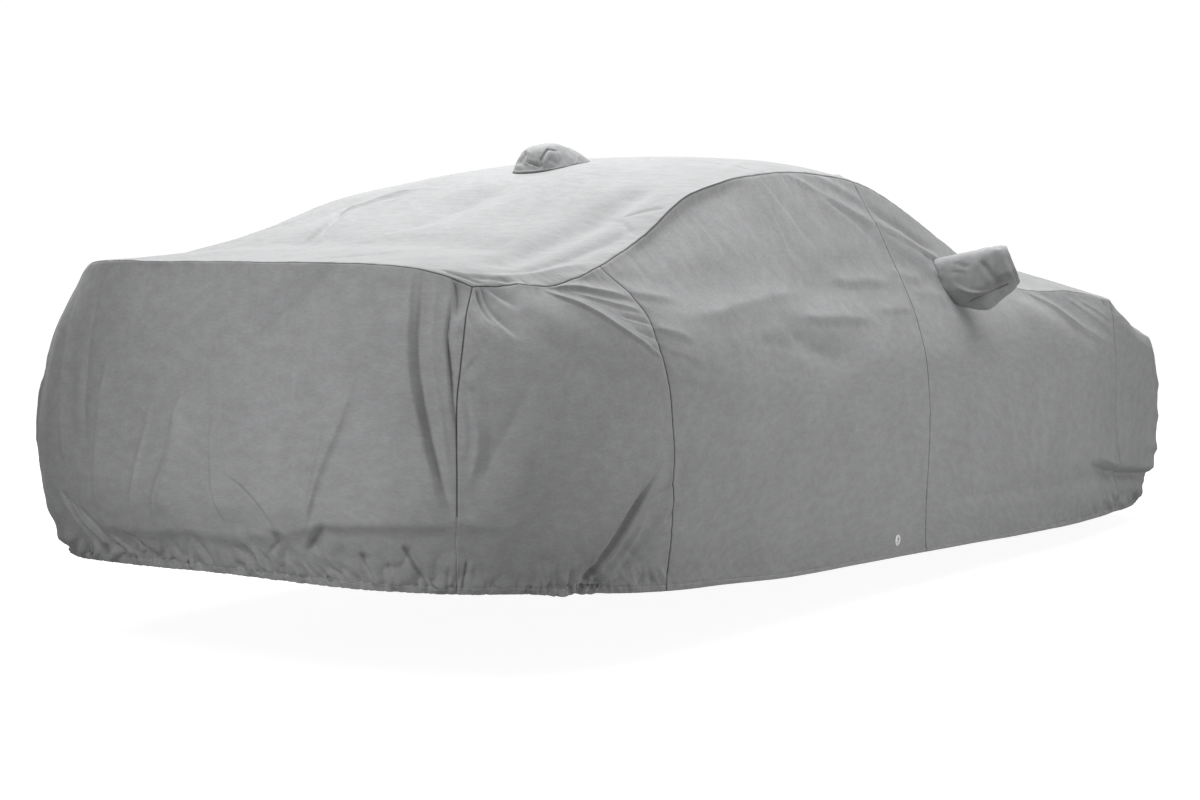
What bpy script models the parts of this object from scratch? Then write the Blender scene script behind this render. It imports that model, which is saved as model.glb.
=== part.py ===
"""A fitted outdoor cover of soft grey cloth, hollow, in the shape in which it hangs.

Metres, +Z up. +X is the front end, +Y the left side. The tables give heights above the floor, and the
finished mesh is lowered by HELD_HEIGHT, so that the origin is the held point under the middle of the roof.
"""

import math

import bmesh
import bpy
import numpy as np
from mathutils import Vector
from mathutils.bvhtree import BVHTree

HELD_HEIGHT = 1.392  # the held point, under the roof cloth
CLOTH = 0.0022  # thickness of the cloth
HEM = 0.0045  # thickness of the turned hem with its elastic
SEAM_GAP = 0.0008  # gap between two sewn panels
WIDE_HEIGHT = 0.62  # height of the widest line of the skirt
LOW_RISE = 0.15  # the low line above the hem
RING_HEIGHTS = (0.0, 0.20, 0.50, 0.80, 1.0)  # seam, belt, wide, low and hem lines down the skirt
SKIRT_CELLS = 15  # cells from the top seam to the hem
STRIP_CELLS = 2  # of these, the cells in the strip that holds the eyelet
STRIP_FROM = 0.90  # the strip's top, as a share of the way down
HEM_LEVELS = (0.985, 1.0)  # the hem's stitched line and its edge
TAIL_BOW_POWER = 3.6
NOSE_BOW_POWER = 2.6

# One row for each station along a side, from the tail corner to the front corner. cells: columns up to the
# next row. top_*: the sewn edge of the top. bow: how far the middle of the row lies ahead of its ends.
# crown, square: its rise in the middle, and how flat it is. wide_*: the widest line. *_in: how far a line
# lies inside the widest one. *_shift: how far it lies forward of it. *_z: height above the floor.
FLANK_COLUMNS = (
    "cells", "top_x", "top_y", "top_z", "bow", "crown", "square",
    "wide_x", "wide_y", "belt_in", "belt_z", "belt_shift", "low_in", "hem_in", "hem_z", "hem_shift",
)
FLANK = {
    "tail_corner": (3, -2.13, 0.677, 1.012, -0.19, 0.062, 8.0,
                    -2.265, 0.728, 0.062, 0.90, 0.00, 0.025, 0.09, 0.249, 0.00),
    "tail_shoulder": (3, -2.03, 0.740, 1.018, -0.12, 0.062, 6.0,
                      -2.122, 0.853, 0.052, 0.89, 0.00, 0.025, 0.09, 0.243, 0.00),
    "haunch": (3, -1.90, 0.785, 1.032, -0.06, 0.064, 4.5,
               -1.91, 0.917, 0.050, 0.90, 0.00, 0.02, 0.07, 0.227, 0.00),
    "quarter_seam": (3, -1.73, 0.79, 1.060, -0.02, 0.070, 3.5,
                     -1.62, 0.945, 0.045, 0.90, -0.03, 0.01, 0.035, 0.201, 0.025),
    "rear_flank": (4, -1.40, 0.72, 1.141, 0.0, 0.062, 3.0,
                  -1.32, 0.955, 0.060, 0.90, -0.02, 0.01, 0.035, 0.183, 0.0),
    "rear_pillar": (4, -1.07, 0.65, 1.250, 0.0, 0.050, 2.6,
                    -0.98, 0.945, 0.070, 0.90, -0.02, 0.01, 0.030, 0.158, 0.0),
    "roof_seam": (3, -0.50, 0.59, 1.330, 0.0, 0.055, 2.4,
                  -0.50, 0.925, 0.075, 0.90, 0.00, 0.01, 0.025, 0.137, 0.0),
    "roof_middle": (2, -0.20, 0.58, 1.336, 0.0, 0.060, 2.4,
                    -0.22, 0.918, 0.075, 0.90, 0.00, 0.01, 0.020, 0.127, 0.0),
    "door_seam": (2, 0.06, 0.60, 1.314, 0.03, 0.080, 2.4,
                  0.00, 0.915, 0.070, 0.89, -0.02, 0.01, 0.015, 0.120, 0.0),
    "brow": (2, 0.26, 0.625, 1.260, 0.07, 0.112, 2.4,
               0.22, 0.918, 0.065, 0.88, 0.00, 0.01, 0.015, 0.113, 0.0),
    "front_slope": (2, 0.44, 0.66, 1.180, 0.12, 0.115, 2.4,
                   0.42, 0.922, 0.060, 0.87, 0.00, 0.01, 0.020, 0.106, 0.0),
    "slope_foot": (3, 0.70, 0.735, 1.035, 0.18, 0.090, 2.6,
             0.68, 0.930, 0.055, 0.85, 0.00, 0.01, 0.025, 0.096, 0.0),
    "bonnet": (3, 1.00, 0.80, 0.945, 0.20, 0.080, 2.8,
               1.00, 0.940, 0.050, 0.83, 0.00, 0.01, 0.030, 0.088, 0.0),
    "front_flank": (3, 1.38, 0.825, 0.930, 0.28, 0.090, 2.8,
                   1.33, 0.943, 0.050, 0.81, 0.00, 0.01, 0.035, 0.082, 0.0),
    "front_corner": (4, 1.67, 0.865, 0.892, 0.68, 0.016, 2.2,
                     1.63, 0.925, 0.020, 0.82, 0.02, 0.01, 0.035, 0.077, 0.05),
}

# The rows between a corner and the middle of an end, outwards. across: share of the sewn edge's half width.
END_COLUMNS = ("cells", "across", "wide_x", "wide_y", "belt_in", "belt_z", "low_in", "hem_in", "hem_z")
TAIL = {
    "middle": (5, 0.0, -2.415, 0.0, 0.040, 0.90, 0.02, 0.09, 0.262),
    "inner": (5, 0.44, -2.400, 0.32, 0.040, 0.90, 0.02, 0.09, 0.257),
    "outer": (4, 0.80, -2.342, 0.575, 0.050, 0.90, 0.02, 0.09, 0.252),
}
NOSE = {
    "middle": (5, 0.0, 2.460, 0.0, 0.032, 0.795, 0.02, 0.10, 0.100),
    "inner": (5, 0.44, 2.420, 0.44, 0.032, 0.795, 0.02, 0.10, 0.095),
    "outer": (5, 0.80, 2.210, 0.85, 0.034, 0.795, 0.02, 0.10, 0.080),
}

# Main folds of the skirt, along the widest line (forward from the tail's middle, on each side) and by
# height above the floor. rise is outwards; a negative one is a trough.
FOLD_COLUMNS = ("along_1", "height_1", "along_2", "height_2", "width", "rise")
RIGHT_FOLDS = {
    "corner_trough_upper": (0.65, 0.93, 0.66, 0.68, 0.035, -0.016),
    "corner_trough_lower": (0.66, 0.68, 0.74, 0.47, 0.035, -0.018),
    "corner_ridge": (0.59, 0.90, 0.61, 0.58, 0.040, 0.010),
    "low_roll": (0.10, 0.47, 0.62, 0.46, 0.050, 0.008),
    "quarter_fan": (0.84, 0.98, 1.15, 0.80, 0.050, -0.010),
    "quarter_upper": (1.18, 0.98, 1.42, 0.80, 0.040, 0.010),
    "quarter_fold": (1.12, 0.22, 1.38, 0.53, 0.042, 0.020),
    "quarter_trough": (1.22, 0.26, 1.46, 0.50, 0.036, -0.010),
    "belt_fold": (1.70, 0.98, 2.90, 1.00, 0.070, -0.008),
    "door_dent": (1.85, 0.80, 2.35, 0.74, 0.060, -0.008),
    "mirror_ridge": (2.85, 1.26, 3.35, 1.05, 0.045, 0.010),
    "bonnet_ridge": (4.00, 0.86, 4.40, 0.70, 0.060, 0.010),
    "front_trough": (4.30, 0.24, 4.95, 0.22, 0.050, -0.014),
}
LEFT_FOLDS = {
    "corner_roll": (0.66, 0.86, 0.60, 0.42, 0.060, 0.008),
    "low_roll": (0.12, 0.46, 0.64, 0.45, 0.055, 0.006),
    "quarter_fan": (0.86, 0.96, 1.22, 0.76, 0.055, -0.009),
    "quarter_fold": (1.26, 0.28, 1.50, 0.60, 0.050, 0.016),
    "belt_fold": (1.60, 0.97, 2.80, 0.99, 0.070, -0.008),
    "door_dent": (2.20, 0.72, 2.80, 0.66, 0.070, -0.007),
    "bonnet_ridge": (3.90, 0.84, 4.35, 0.66, 0.060, 0.010),
    "front_trough": (4.10, 0.30, 4.60, 0.28, 0.050, -0.012),
}
# Main folds of the top, by place seen from above; rise is upwards.
TOP_FOLD_COLUMNS = ("x_1", "y_1", "x_2", "y_2", "width", "rise")
TOP_FOLDS = {
    "right_pillar": (-1.90, -0.62, -1.15, -0.50, 0.060, -0.014),
    "left_pillar": (-1.85, 0.60, -1.20, 0.48, 0.070, -0.012),
    "deck_front": (-1.78, -0.45, -1.78, 0.45, 0.090, -0.012),
    "glass_right": (-1.55, -0.25, -0.85, -0.15, 0.080, 0.007),
    "glass_left": (-1.60, 0.28, -1.00, 0.30, 0.090, 0.008),
    "brow_dip": (0.42, -0.45, 0.42, 0.45, 0.070, -0.008),
    "slope_dip": (0.98, -0.55, 0.98, 0.55, 0.080, -0.016),
    "bonnet_right": (1.20, -0.45, 1.85, -0.40, 0.090, 0.008),
    "bonnet_left": (1.20, 0.42, 1.80, 0.46, 0.090, 0.007),
}

# The eyelet: its place, the radii of its hole and its flange, how far its lips stand out, the wall of its
# barrel, and how far around it the cloth lies flat.
EYELET = {"x": -0.197, "z": 0.180, "hole": 0.0070, "flange": 0.018, "lip": 0.0016, "wall": 0.0016, "flat": 0.13}
EYELET_SIDES = 20
EYELET_ROUND = 0.0006  # how far its bore's edges are eased
BACK_FLANGE_IN = 0.003  # how much smaller its back flange is

# The mirror pocket outwards from the side, on the right; the left one is its mirror image. reach: how far out
# of the side's surface plane, as a share of the whole; then the middle and half sizes of each section.
MIRROR_COLUMNS = ("reach", "x", "z", "half_x", "half_z", "square")
MIRROR_SECTIONS = {
    "root": (0.00, 0.352, 0.980, 0.062, 0.068, 2.4),
    "neck": (0.18, 0.348, 0.982, 0.066, 0.077, 2.5),
    "bag": (0.42, 0.336, 0.990, 0.070, 0.092, 2.8),
    "outer": (0.72, 0.318, 1.012, 0.066, 0.088, 3.2),
    "shoulder": (0.93, 0.312, 1.030, 0.055, 0.079, 3.4),
    "end": (1.00, 0.310, 1.034, 0.044, 0.064, 3.0),
}
MIRROR_ROOT_Y = 0.855
MIRROR_END_Y = 1.062
MIRROR_SIDES = 28

# The antenna pocket upwards from the roof: rise above the roof, and the middle and half sizes of each section.
ANTENNA_COLUMNS = ("rise", "x", "half_x", "half_y", "square")
ANTENNA_SECTIONS = {
    "root": (0.000, -0.840, 0.150, 0.088, 2.2),
    "skirt": (0.024, -0.842, 0.140, 0.080, 2.3),
    "waist": (0.046, -0.850, 0.118, 0.066, 2.3),
    "shoulder": (0.064, -0.858, 0.084, 0.046, 2.3),
    "crest": (0.073, -0.862, 0.046, 0.024, 2.2),
}
ANTENNA_SIDES = 24
POCKET_STEP = 0.0005  # a pocket's root stands this far off the panel that it is sewn to
HOLE_INSET = 0.006  # the panel's hole lies this far inside the pocket's root

CLOTH_FINISH = ((0.42, 0.42, 0.43), 0.9, 0.0)  # colour, roughness, metallic
EYELET_FINISH = ((0.78, 0.78, 0.77), 0.35, 0.0)


def column(table, names, name):
    """One named column of a table, as an array."""
    return np.array([row[names.index(name)] for row in table.values()], float)


def smooth(knots, values, at):
    """Values at the given places on a smooth curve through the knots: a cubic between each two of them."""
    knots = np.asarray(knots, float)
    values = np.asarray(values, float)
    at = np.asarray(at, float)
    slopes = np.gradient(values, knots, axis=0)
    k = np.clip(np.searchsorted(knots, at, side="right") - 1, 0, len(knots) - 2)
    step = knots[k + 1] - knots[k]
    u = (at - knots[k]) / step
    if values.ndim > 1:
        u = u.reshape(u.shape + (1,) * (values.ndim - 1))
        step = step.reshape(u.shape)
    return (
        (2 * u**3 - 3 * u**2 + 1) * values[k]
        + (u**3 - 2 * u**2 + u) * step * slopes[k]
        + (3 * u**2 - 2 * u**3) * values[k + 1]
        + (u**3 - u**2) * step * slopes[k + 1]
    )


def spread(knots, cells):
    """The places of all columns, evenly divided between each two knots."""
    parts = [
        np.linspace(knots[i], knots[i + 1], int(cells[i]) + 1)[:-1] for i in range(len(knots) - 1)
    ]
    return np.append(np.concatenate(parts), knots[-1])


def clear_scene():
    for item in list(bpy.data.objects):
        bpy.data.objects.remove(item, do_unlink=True)


class Cover:
    """The whole outer surface as two grids of points that share their sewn edge, and the cloth's depth."""

    def __init__(self):
        self.lay_out_columns()
        self.shape_skirt()
        self.shape_top()
        self.weld()
        self.flatten_at_eyelets()
        self.find_depth()

    def lay_out_columns(self):
        """Columns run along the widest line, from the tail's middle to the nose's middle."""
        nose = dict(reversed(list(NOSE.items())))
        self.lines = {}
        for name in ("wide_x", "wide_y", "belt_in", "belt_z", "low_in", "hem_in", "hem_z"):
            self.lines[name] = np.concatenate(
                [
                    column(TAIL, END_COLUMNS, name),
                    column(FLANK, FLANK_COLUMNS, name),
                    column(nose, END_COLUMNS, name),
                ]
            )
        for name in ("belt_shift", "hem_shift"):
            flank = column(FLANK, FLANK_COLUMNS, name)
            self.lines[name] = np.pad(flank, (len(TAIL), len(NOSE)))
        wide = np.stack([self.lines["wide_x"], self.lines["wide_y"]], 1)
        steps = np.linalg.norm(np.diff(wide, axis=0), axis=1)
        self.knots = np.concatenate([[0.0], np.cumsum(steps)])
        cells = np.concatenate(
            [
                column(TAIL, END_COLUMNS, "cells"),
                column(FLANK, FLANK_COLUMNS, "cells"),
                column(nose, END_COLUMNS, "cells")[:-1],
            ]
        ).astype(int)
        self.places = spread(self.knots, cells)
        self.flank_knots = self.knots[len(TAIL) : -len(NOSE)]
        self.end_cells = int(cells[: len(TAIL)].sum())
        self.flank_cells = len(self.places) - 1 - 2 * self.end_cells
        starts = np.concatenate([[0], np.cumsum(cells)])
        self.start_of = {name: int(starts[len(TAIL) + i]) for i, name in enumerate(FLANK)}
        shares = np.append(column(TAIL, END_COLUMNS, "across"), 1.0)
        self.across = np.interp(self.places[: self.end_cells + 1], self.knots[: len(TAIL) + 1], shares)

    def mirrored_smooth(self, values, odd):
        """Values at every column, from values at the stations, with the other side taken as a mirror image."""
        knots = self.knots
        sign = -1.0 if odd else 1.0
        wide_knots = np.concatenate([-knots[2:0:-1], knots, 2 * knots[-1] - knots[-2:-4:-1]])
        wide_values = np.concatenate([sign * values[2:0:-1], values, sign * values[-2:-4:-1]])
        return smooth(wide_knots, wide_values, self.places)

    def top(self, places, across):
        """A point of the top: a place along the flank, and a share of the half width."""
        value = {
            name: smooth(self.flank_knots, column(FLANK, FLANK_COLUMNS, name), places)
            for name in ("top_x", "top_y", "top_z", "bow", "crown", "square")
        }
        share = (places - self.flank_knots[0]) / (self.flank_knots[-1] - self.flank_knots[0])
        bow_power = TAIL_BOW_POWER + (NOSE_BOW_POWER - TAIL_BOW_POWER) * share
        off = np.abs(across)
        return np.stack(
            [
                value["top_x"] + value["bow"] * (1 - off**bow_power),
                value["top_y"] * across,
                value["top_z"] + value["crown"] * (1 - off ** value["square"]),
            ],
            -1,
        )

    def seam_line(self):
        """The sewn edge of the top at every column of the left side."""
        ends = self.end_cells
        flank = self.places[ends : ends + self.flank_cells + 1]
        tail = self.top(np.full(ends, flank[0]), self.across[:-1])
        side = self.top(flank, np.ones(len(flank)))
        nose = self.top(np.full(ends, flank[-1]), self.across[-2::-1])
        return np.concatenate([tail, side, nose])

    def shape_skirt(self):
        """Each side's skirt, with the left side's folds and the right side's."""
        at = {name: self.mirrored_smooth(v, name == "wide_y") for name, v in self.lines.items()}
        wide = np.stack([at["wide_x"], at["wide_y"]], 1)
        tangent = np.gradient(wide, self.places, axis=0)
        tangent[0] = (0.0, 1.0)
        tangent[-1] = (0.0, -1.0)
        tangent /= np.linalg.norm(tangent, axis=1, keepdims=True)
        normal = np.stack([-tangent[:, 1], tangent[:, 0]], 1)

        def line(inset, shift, height):
            plan = wide - normal * inset[:, None] + tangent * shift[:, None]
            return np.column_stack([plan, height])

        none = np.zeros(len(self.places))
        rings = np.stack(
            [
                self.seam_line(),
                line(at["belt_in"], at["belt_shift"], at["belt_z"]),
                line(none, none, none + WIDE_HEIGHT),
                line(at["low_in"], at["hem_shift"] * 0.5, at["hem_z"] + LOW_RISE),
                line(at["hem_in"], at["hem_shift"], at["hem_z"]),
            ]
        )
        levels = np.concatenate([np.linspace(0, STRIP_FROM, SKIRT_CELLS - STRIP_CELLS + 1), HEM_LEVELS])
        base = smooth(RING_HEIGHTS, rings, levels)
        outwards = np.column_stack([normal, none])
        ramp = np.clip(levels / 0.10, 0, 1)[:, None]
        sides = []
        for folds in (LEFT_FOLDS, RIGHT_FOLDS):
            rise = fold_field(folds, FOLD_COLUMNS, self.places[None, :], base[..., 2]) * ramp
            sides.append(base + rise[..., None] * outwards)
        middle = (sides[0] + sides[1]) / 2
        for grid in sides:
            grid[:, 0] = middle[:, 0]
            grid[:, -1] = middle[:, -1]
        sides[1][..., 1] *= -1
        self.loop = np.concatenate([sides[1][:, :0:-1], sides[0][:, :-1]], axis=1)
        self.rows, self.around = self.loop.shape[:2]
        self.last = len(self.places) - 1

    def shape_top(self):
        """The grid of the top, with its folds, which fade out towards its sewn edge."""
        ends = self.end_cells
        flank = self.places[ends : ends + self.flank_cells + 1]
        across = np.concatenate([-self.across[:0:-1], self.across])
        self.roof = self.top(flank[:, None] + 0 * across, across + 0 * flank[:, None])
        rise = fold_field(TOP_FOLDS, TOP_FOLD_COLUMNS, self.roof[..., 0], self.roof[..., 1])
        along = np.linspace(0, 1, len(flank))[:, None]
        edge = np.clip((1 - np.abs(across)) / 0.2, 0, 1) * np.clip(np.minimum(along, 1 - along) / 0.06, 0, 1)
        self.roof[..., 2] += rise * edge

    def loop_index(self, place, left):
        """The index around the loop of a column of one side."""
        return (self.last + place if left else self.last - place) % self.around

    def weld(self):
        """Numbers the points of both grids, with the sewn edge's points shared."""
        ends = self.end_cells
        self.skirt_ids = np.arange(self.rows * self.around).reshape(self.rows, self.around)
        count = self.rows * self.around
        self.top_ids = np.arange(count, count + self.roof.shape[0] * self.roof.shape[1])
        self.top_ids = self.top_ids.reshape(self.roof.shape[:2])
        for j in range(-ends, ends + 1):
            self.top_ids[0, j + ends] = self.loop_index(abs(j), j > 0)
            self.top_ids[-1, j + ends] = self.loop_index(self.last - abs(j), j > 0)
        for i in range(self.flank_cells + 1):
            self.top_ids[i, 0] = self.loop_index(ends + i, False)
            self.top_ids[i, -1] = self.loop_index(ends + i, True)
        self.points = np.concatenate([self.loop.reshape(-1, 3), self.roof.reshape(-1, 3)])
        wrapped = np.concatenate([self.skirt_ids, self.skirt_ids[:, :1]], axis=1)
        self.quads = np.concatenate([quads_of(wrapped, False), quads_of(self.top_ids, True)])

    def eyelet_frame(self, left):
        """Centre, outward direction and size of the flat place around an eyelet."""
        sign = 1.0 if left else -1.0
        side = np.sign(self.points[:, 1]) == sign
        apart = np.hypot(self.points[:, 0] - EYELET["x"], self.points[:, 2] - EYELET["z"])
        near = side & (apart < EYELET["flat"])
        middle = self.points[near].mean(axis=0)
        _, _, axes = np.linalg.svd(self.points[near] - middle)
        normal = axes[2] * sign * np.sign(axes[2][1])
        y = middle[1] - (
            normal[0] * (EYELET["x"] - middle[0]) + normal[2] * (EYELET["z"] - middle[2])
        ) / normal[1]
        return near, np.array([EYELET["x"], y, EYELET["z"]]), normal

    def flatten_at_eyelets(self):
        """Lays the cloth around each eyelet on one plane."""
        self.eyelets = []
        for left in (False, True):
            near, centre, normal = self.eyelet_frame(left)
            off = (self.points[near] - centre) @ normal
            self.points[near] -= off[:, None] * normal
            self.eyelets.append((left, centre, normal))

    def find_depth(self):
        """The inner face: each point moved inwards, with a mitre where the top and the skirt meet."""
        a, b, c, d = (self.points[self.quads[:, k]] for k in range(4))
        face = np.cross(c - a, d - b)
        normal = np.zeros_like(self.points)
        for k in range(4):
            np.add.at(normal, self.quads[:, k], face)
        length = np.linalg.norm(normal, axis=1, keepdims=True)
        length[length == 0] = 1
        normal /= length
        face /= np.linalg.norm(face, axis=1, keepdims=True)
        total = np.zeros(len(self.points))
        count = np.zeros(len(self.points))
        for k in range(4):
            np.add.at(total, self.quads[:, k], (face * normal[self.quads[:, k]]).sum(axis=1))
            np.add.at(count, self.quads[:, k], 1)
        slope = np.clip(total / np.maximum(count, 1), 0.6, 1)
        depth = np.full(len(self.points), CLOTH)
        depth[self.skirt_ids[-1]] = HEM
        self.inside = self.points - normal * (depth / slope)[:, None]


def fold_field(folds, names, first, second):
    """The rise of all folds at given places: each is a soft ridge along a line, fading past its ends."""
    total = np.zeros(np.broadcast(first, second).shape)
    for row in folds.values():
        a1, b1, a2, b2, width, rise = row[: len(names)]
        length = math.hypot(a2 - a1, b2 - b1)
        da = (a2 - a1) / length
        db = (b2 - b1) / length
        along = (first - a1) * da + (second - b1) * db
        off = -(first - a1) * db + (second - b1) * da
        past = np.maximum(np.maximum(-along, along - length), 0)
        total = total + rise * np.exp(-((off / width) ** 2) - (past / (1.6 * width)) ** 2)
    return total


def quads_of(ids, rows_first):
    """The cells of a grid of point numbers, in the order that faces them outwards."""
    a, b, c, d = ids[:-1, :-1], ids[:-1, 1:], ids[1:, 1:], ids[1:, :-1]
    order = (a, d, c, b) if rows_first else (a, b, c, d)
    return np.stack([part.ravel() for part in order], 1)


def halved(quads):
    """Each cell as two triangles, split along the same diagonal wherever the grid is used."""
    return np.concatenate([quads[:, [0, 1, 2]], quads[:, [0, 2, 3]]])


def pulled_in(grid):
    """A grid of points with its four borders drawn in by half a seam gap."""
    grid = grid.copy()
    for axis in (0, 1):
        view = np.moveaxis(grid, axis, 0)
        for edge, inner in ((0, 1), (-1, -2)):
            step = view[inner] - view[edge]
            view[edge] += step / np.linalg.norm(step, axis=-1, keepdims=True) * SEAM_GAP / 2
    return grid


def finish_material(name, finish):
    """A plain finish for one object: a colour, a roughness and a metallic share."""
    colour, roughness, metallic = finish
    material = bpy.data.materials.new(name)
    material.use_nodes = True
    shader = material.node_tree.nodes["Principled BSDF"]
    shader.inputs["Base Color"].default_value = (*colour, 1.0)
    shader.inputs["Roughness"].default_value = roughness
    shader.inputs["Metallic"].default_value = metallic
    return material


def add_mesh(name, points, faces, finish, smooth_angle=0.7):
    """A named object from points above the floor, lowered so that the held point is the origin."""
    lowered = np.asarray(points, float) - (0, 0, HELD_HEIGHT)
    mesh = bpy.data.meshes.new(name)
    mesh.from_pydata(lowered.tolist(), [], [list(map(int, face)) for face in faces])
    mesh.validate()
    work = bmesh.new()
    work.from_mesh(mesh)
    bmesh.ops.recalc_face_normals(work, faces=work.faces)
    work.to_mesh(mesh)
    work.free()
    mesh.materials.append(finish_material(f"{name}_finish", finish))
    mesh.shade_smooth()
    mesh.set_sharp_from_angle(angle=smooth_angle)
    item = bpy.data.objects.new(name, mesh)
    bpy.context.scene.collection.objects.link(item)
    return item


def add_panel(cover, name, ids, rows_first):
    """A panel of the cover: its outer and inner grids, and the cut edge between them."""
    outer = pulled_in(cover.points[ids])
    inner = pulled_in(cover.inside[ids])
    rows, columns = ids.shape
    own = np.arange(rows * columns).reshape(rows, columns)
    out = halved(quads_of(own, rows_first))
    faces = [out, out[:, ::-1] + rows * columns]
    rim = np.concatenate([own[0, :-1], own[:-1, -1], own[-1, :0:-1], own[:0:-1, 0]])
    after = np.roll(rim, -1)
    if rows_first:
        rim, after = after, rim
    deep = rows * columns
    faces.append(halved(np.stack([after, rim, rim + deep, after + deep], 1)))
    points = np.concatenate([outer.reshape(-1, 3), inner.reshape(-1, 3)])
    return add_mesh(name, points, np.concatenate(faces), CLOTH_FINISH)


def rounded(angle, square):
    """The unit rounded-box outline: cosine and sine drawn out towards the corners."""
    c = np.cos(angle)
    s = np.sin(angle)
    return np.sign(c) * np.abs(c) ** (2 / square), np.sign(s) * np.abs(s) ** (2 / square)


def shell_faces(levels, sides):
    """Faces of a closed cap of rings with a pole, outside and inside, joined at the first ring."""
    ring = np.arange(sides)
    after = np.roll(ring, -1)
    faces = []
    inner = levels * sides + 1
    for k in range(levels - 1):
        a = k * sides + ring
        b = k * sides + after
        faces += [(p, q, q + sides, p + sides) for p, q in zip(a, b)]
        faces += [(q + inner, p + inner, p + sides + inner, q + sides + inner) for p, q in zip(a, b)]
    last = (levels - 1) * sides
    pole = levels * sides
    faces += [(last + p, last + q, pole) for p, q in zip(ring, after)]
    faces += [(last + q + inner, last + p + inner, pole + inner) for p, q in zip(ring, after)]
    faces += [(q, p, p + inner, q + inner) for p, q in zip(ring, after)]
    return faces


def add_shell(name, outer, inner):
    """A pocket from its outer and inner rings, each with a pole point as its last row."""
    levels = len(outer) - 1
    sides = len(outer[0])
    points = [p for ring in outer[:-1] for p in ring] + [outer[-1][0]]
    points += [p for ring in inner[:-1] for p in ring] + [inner[-1][0]]
    add_mesh(name, points, shell_faces(levels, sides), CLOTH_FINISH, smooth_angle=1.0)


def mirror_rings(tree, sign, inside):
    """Rings of a mirror pocket. Its root lies on the side's surface, and its end is a plane upright disc."""
    angle = np.linspace(0, 2 * math.pi, MIRROR_SIDES, endpoint=False)
    thin = CLOTH if inside else 0.0
    rings = []
    for reach, x, z, half_x, half_z, square in MIRROR_SECTIONS.values():
        c, s = rounded(angle, square)
        px = x + (half_x - thin) * c
        pz = z + (half_z - thin) * s
        plane = MIRROR_ROOT_Y + reach * (MIRROR_END_Y - MIRROR_ROOT_Y) - thin * reach
        ease = min(reach / 0.42, 1.0)
        ease = ease * ease * (3 - 2 * ease)
        ring = []
        for one_x, one_z in zip(px, pz):
            hit = tree.ray_cast(Vector((one_x, sign * 2.0, one_z)), Vector((0, -sign, 0)))[0]
            root = abs(hit.y) + POCKET_STEP
            ring.append((one_x, sign * (root + (plane - root) * ease), one_z))
        rings.append(ring)
    middle = MIRROR_SECTIONS["end"]
    rings.append([(middle[1], sign * (MIRROR_END_Y + 0.004 - thin), middle[2])] * MIRROR_SIDES)
    return rings


def antenna_rings(tree, inside):
    """Rings of the antenna pocket, each at its rise above the roof's surface."""
    angle = np.linspace(0, 2 * math.pi, ANTENNA_SIDES, endpoint=False)
    thin = CLOTH if inside else 0.0
    rings = []
    for rise, x, half_x, half_y, square in ANTENNA_SECTIONS.values():
        c, s = rounded(angle, square)
        ring = []
        for one_x, one_y in zip(x + (half_x - thin) * c, (half_y - thin) * s):
            hit = tree.ray_cast(Vector((one_x, one_y, 3.0)), Vector((0, 0, -1)))[0]
            ring.append((one_x, one_y, hit.z + POCKET_STEP + rise - thin * min(rise / 0.02, 1.0)))
        rings.append(ring)
    crest = rings[-1]
    top_z = max(p[2] for p in crest) + 0.002
    rings.append([(ANTENNA_SECTIONS["crest"][1], 0.0, top_z)] * ANTENNA_SIDES)
    return rings


def cut_hole(panel, name, outline, direction, reach):
    """Cuts a panel with a prism: an outline of points carried both ways along a direction."""
    outline = np.asarray(outline, float)
    span = np.asarray(direction, float) * reach
    count = len(outline)
    points = np.concatenate([outline - span, outline + span])
    ring = np.arange(count)
    after = np.roll(ring, -1)
    faces = [list(ring[::-1]), list(ring + count)]
    faces += [(p, q, q + count, p + count) for p, q in zip(ring, after)]
    cutter = add_mesh(name, points, faces, CLOTH_FINISH)
    cutter.hide_render = True
    cutter.display_type = "WIRE"
    modifier = panel.modifiers.new(name, "BOOLEAN")
    modifier.operation = "DIFFERENCE"
    modifier.object = cutter


def add_eyelet(name, centre, normal, spokes):
    """A turned ring of channel section: a flange on each face of the cloth, joined by a barrel."""
    hole = EYELET["hole"]
    flange = EYELET["flange"]
    lip = EYELET["lip"]
    bore_edge = hole + EYELET_ROUND
    barrel = hole + EYELET["wall"]
    back_flange = flange - BACK_FLANGE_IN
    front = SEAM_GAP
    back = -CLOTH - SEAM_GAP
    profile = [
        (bore_edge, front + lip),
        (flange - 2 * lip, front + lip),
        (flange - 0.5 * lip, front + 0.7 * lip),
        (flange, front),
        (barrel, front),
        (barrel, back),
        (back_flange, back),
        (back_flange, back - 0.8 * lip),
        (bore_edge, back - 0.8 * lip),
        (hole, back - 0.4 * lip),
        (hole, front + 0.6 * lip),
    ]
    points = []
    for radius, depth in profile:
        points += list(centre + spokes * radius + normal * depth)
    count = len(profile)
    ring = np.arange(EYELET_SIDES)
    after = np.roll(ring, -1)
    faces = []
    for k in range(count):
        here = k * EYELET_SIDES
        there = (k + 1) % count * EYELET_SIDES
        faces += list(zip(here + ring, here + after, there + after, there + ring))
    add_mesh(name, points, faces, EYELET_FINISH)


def skirt_ids(cover, left, first, last, rows):
    """Point numbers of a part of the skirt between two columns of one side, in the order around the loop."""
    places = range(first, last + 1) if left else range(last, first - 1, -1)
    loop = [cover.loop_index(place, left) for place in places]
    return cover.skirt_ids[rows][:, loop]


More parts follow.
